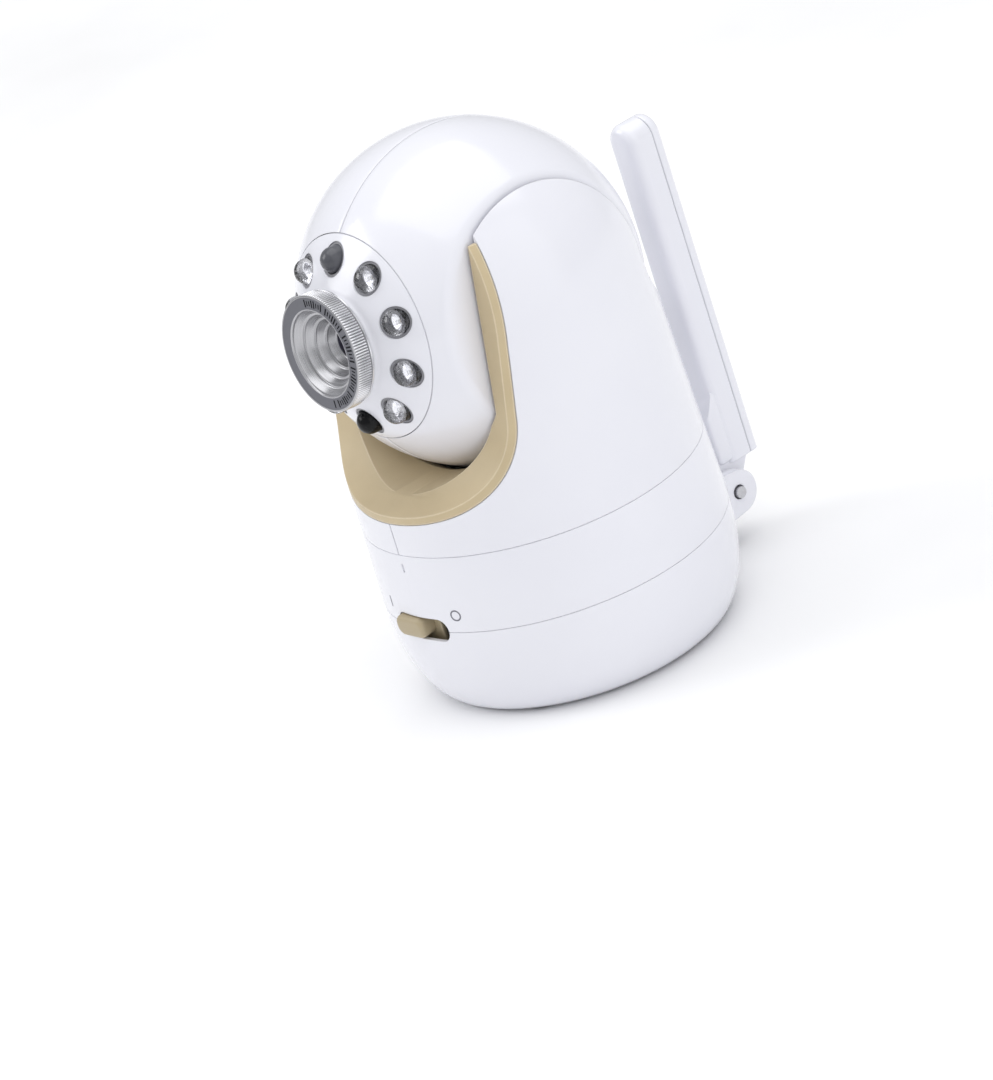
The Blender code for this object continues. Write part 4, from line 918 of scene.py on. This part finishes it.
def hood_steps(floor):
    """The steps of the hood's mouth from its aperture outwards: each a cone with a lip in front."""
    deep = (HOOD_FRONT - 0.3 * MM - floor) / HOOD_STEPS
    grow = (HOOD_MOUTH_R - HOOD_APERTURE_R) / HOOD_STEPS
    steps = []
    for i in range(HOOD_STEPS):
        radius, z = HOOD_APERTURE_R + grow * i, floor + deep * i
        steps += [(radius + 0.28 * grow, z), (radius + 0.92 * grow, z + 0.86 * deep),
                  (radius + 0.96 * grow, z + deep)]
    return steps


def hood_skin():
    """The turned hood: knurled rim with a bead behind it, spigot, and stepped mouth."""
    floor = HOOD_SPIGOT_END + 0.8 * MM
    knurl_low, knurl_high = HOOD_BACK + 0.75 * MM, HOOD_FRONT - 0.28 * MM
    groove_r, bead_r = HOOD_R - 0.28 * MM, HOOD_R - 0.05 * MM
    rim = [(HOOD_R - 0.13 * MM, knurl_high - (knurl_high - knurl_low) * i / 6) for i in range(7)]
    outer = [(HOOD_R - 0.35 * MM, HOOD_FRONT), (HOOD_R - 0.12 * MM, HOOD_FRONT - 0.08 * MM), *rim,
             (groove_r, knurl_low - 0.1 * MM), (groove_r, knurl_low - 0.2 * MM),
             (bead_r, knurl_low - 0.3 * MM), (bead_r, HOOD_BACK + 0.2 * MM),
             (HOOD_R - 0.3 * MM, HOOD_BACK), (HOOD_SPIGOT_R, HOOD_BACK), (HOOD_SPIGOT_R, HOOD_SPIGOT_END),
             (HOOD_APERTURE_R, HOOD_SPIGOT_END), (HOOD_APERTURE_R, floor)]
    recess = HOOD_FRONT - 0.2 * MM
    mouth = [(HOOD_MOUTH_R, HOOD_FRONT - 0.15 * MM), (HOOD_MOUTH_R + 0.15 * MM, HOOD_FRONT),
             (LIP_R, HOOD_FRONT), (LIP_R, recess), (FACE_R, recess), (FACE_R, HOOD_FRONT)]

    def knurled(radius, height, angle):
        if knurl_low - 1e-6 <= height <= knurl_high + 1e-6 and radius > HOOD_R - 0.2 * MM:
            return KNURL_DEPTH * math.cos(KNURLS * angle)
        return 0.0

    inside = filleted([outer[-1], *hood_steps(floor), mouth[0]], 0.16 * MM, count=4)
    hood = turned([*outer[:-1], *inside, *mouth[1:]], ring=True, sides=KNURLS * 6, ripple=knurled)
    piece(hood, "lens_hood_skin", METAL, "lens_hood", "hood_metal", "lens_hood", place=LENS_FRAME, sharp=40)


def hood_face():
    """The grey ring let into the front of the hood, and the black ticks on it."""
    level = HOOD_FRONT - 0.02 * MM
    back = level - 0.17 * MM
    ring = turned([(LIP_R, level), (FACE_R, level), (FACE_R, back), (LIP_R, back)], ring=True)
    piece(ring, "lens_hood_face", FACE, "lens_hood", "lens_black", place=LENS_FRAME)
    first, last = 97, -83                         # degrees of the ring that the ticks take
    count, group = 46, 9                          # places on it, and in each group of ticks
    middle = Matrix.Translation(((LIP_R + FACE_R) / 2, 0, level + 0.005 * MM))
    bm = bmesh.new()
    for i in range(count):
        if i % group == group - 1:
            continue
        turn = math.radians(first + (last - first) * i / (count - 1))
        long = i % group in (0, 3, 4, 7)
        size = (1.5 * MM, 0.34 * MM, 0.03 * MM) if long else (1.0 * MM, 0.26 * MM, 0.03 * MM)
        bmesh.ops.create_cube(bm, size=1, matrix=Matrix.Rotation(turn, 4, "Z") @ middle
                              @ Matrix.Diagonal((*size, 1)))
    piece(from_bmesh("ticks", bm), "lens_hood_ticks", TICK, "lens_hood", "lens_black", place=LENS_FRAME)


# ---- antenna ----
def blade(low, top, layers):
    """An upright blade with a half-round top, skinned over one outline for each (y, inset) layer."""
    bm = bmesh.new()
    loops = []
    for y, inset in layers:
        half = ANTENNA_HALF - inset
        outline = [(half, low), *arc((0, top), half, 0, 180, 41), (-half, low)]
        loops.append([bm.verts.new((x, y, z)) for x, z in outline])
    skin_over(bm, loops)
    return from_bmesh("blade", bm)


def rounding(edge, count):
    """(distance from the face, inset) pairs that round an edge."""
    return [(edge - a, edge - b) for a, b in arc((0, 0), edge, 0, 90, count)]


def antenna_foot(low):
    """The knuckle on the hinge pin, and the block that joins it to the blade."""
    half = ANTENNA_HALF - 0.25 * MM
    foot = rounded_box((-half, -0.8 * MM, low + 0.3 * MM), (half, 3.7 * MM, 21 * MM), 1.1 * MM)
    slope = extruded([(-2 * MM, 13.4 * MM), (2.4 * MM, 21.5 * MM), (-2 * MM, 23 * MM)], -6 * MM, 6 * MM, "X")
    foot = cut(foot, slope)
    wide = 3.1 * MM
    knuckle = rod((-wide, 0, 0), (wide, 0, 0), 4.4 * MM)
    heel = extruded([(-0.6 * MM, 1.7 * MM), (-0.6 * MM, 8 * MM), (6.6 * MM, 8 * MM), (6.6 * MM, 5 * MM),
                     (4.0 * MM, 1.0 * MM)], -2.8 * MM, 2.8 * MM, "X")
    return foot, join(knuckle, heel)


def antenna_skins():
    """The front moulding with its foot, and the flat back cover, about the hinge pin."""
    low, lip = 16.2 * MM - PIVOT_Z, 0.12 * MM
    top = ANTENNA_TOP - PIVOT_Z - ANTENNA_HALF
    front_y, part_y, back_y = (y - PIVOT_Y for y in (ANTENNA_FRONT, ANTENNA_PART, ANTENNA_BACK))
    front_layers = [(front_y + y, inset) for y, inset in rounding(2.0 * MM, 10)]
    front_layers += [(part_y - lip * 2, 0), (part_y - lip / 2, lip)]
    back_layers = [(back_y - y, inset) for y, inset in rounding(1.5 * MM, 8)]
    back_layers += [(part_y + lip * 2, 0), (part_y + lip / 2, lip)]
    front, back = blade(low, top, front_layers), blade(low, top, back_layers)
    front = join(front, *antenna_foot(low))
    front = cut(front, rod((-8 * MM, 0, 0), (8 * MM, 0, 0), PIN_HOLE_R))
    piece(front, "antenna_front_skin", WHITE, "antenna", "white_gloss", "antenna_front", place=ANTENNA_FRAME)
    piece(back, "antenna_back_skin", WHITE, "antenna", "white_gloss", "antenna_back", place=ANTENNA_FRAME)


# ---- CAD nodes that stay as they are ----
def paint_frame():
    """Gives each shown node the material of its slot."""
    slots = {row["node"]: row["material_slot"] for row in RECORD["subparts"]}
    for name, node in frame["nodes"].items():
        if node.hide_render:
            continue
        node.data.materials.clear()
        node.data.materials.append(SLOT_MATERIALS[slots[name]])


# ---- floor, light and camera ----
def softbox(name, place, side, power):
    """A square area light that faces the object."""
    light = bpy.data.lights.new(name, "AREA")
    light.shape = "RECTANGLE"
    light.size = light.size_y = side
    light.energy = power
    lamp = bpy.data.objects.new(name, light)
    lamp.location = place
    aim = Vector((0, 0, 0.06)) - Vector(place)
    lamp.rotation_euler = aim.to_track_quat("-Z", "Y").to_euler()
    bpy.context.scene.collection.objects.link(lamp)


def studio():
    """A white floor under a large overhead light, with a smaller light on each side."""
    bm = bmesh.new()
    bmesh.ops.create_grid(bm, x_segments=1, y_segments=1, size=6)
    floor = from_bmesh("floor", bm)
    paper = simple("floor_paper", (0.88, 0.88, 0.885), 0.6, grain=60, depth=0.0)
    floor.data.materials.append(paper)

    world = bpy.data.worlds.new("studio")
    world.use_nodes = True
    sky = world.node_tree.nodes["Background"]
    sky.inputs["Color"].default_value = (0.97, 0.98, 1.0, 1)
    sky.inputs["Strength"].default_value = 0.5
    bpy.context.scene.world = world

    softbox("overhead", (0.0, 0.2, 2.0), 2.4, 30.0)
    softbox("left", (-0.75, -0.75, 0.75), 0.6, 3.9)
    softbox("right", (0.95, -0.05, 0.42), 1.2, 3.1)


def camera():
    """57 degrees round to the right and 22 above, rolled so that the part leans."""
    azimuth, elevation, roll = math.radians(56.8), math.radians(22.2), math.radians(-18.7)
    back = Vector((math.cos(elevation) * math.sin(azimuth), -math.cos(elevation) * math.cos(azimuth),
                   math.sin(elevation)))
    level = Vector((math.cos(azimuth), math.sin(azimuth), 0))
    upright = back.cross(level)
    right = level * math.cos(roll) + upright * math.sin(roll)
    up = back.cross(right)
    data = bpy.data.cameras.new("camera")
    data.lens = 149.7
    data.sensor_width = 36
    view = bpy.data.objects.new("camera", data)
    view.matrix_world = Matrix((right, up, back)).transposed().to_4x4()
    view.location = Vector((0.6679, -0.4495, 0.3178 + SEAM_Z)) - up * 0.4 * MM
    bpy.context.scene.collection.objects.link(view)
    bpy.context.scene.camera = view


base_shell_skin()
base_cover_skin()
base_marks()
foot_pad_skin()
slider_skins()
pair_button_cap()
turret_skins()
bezel_skin()
head_skins()
front_plate_skin()
lamp_pieces()
lens_skins()
hood_skin()
hood_face()
antenna_skins()
paint_frame()
studio()
camera()
bpy.context.scene.view_settings.view_transform = "Standard"
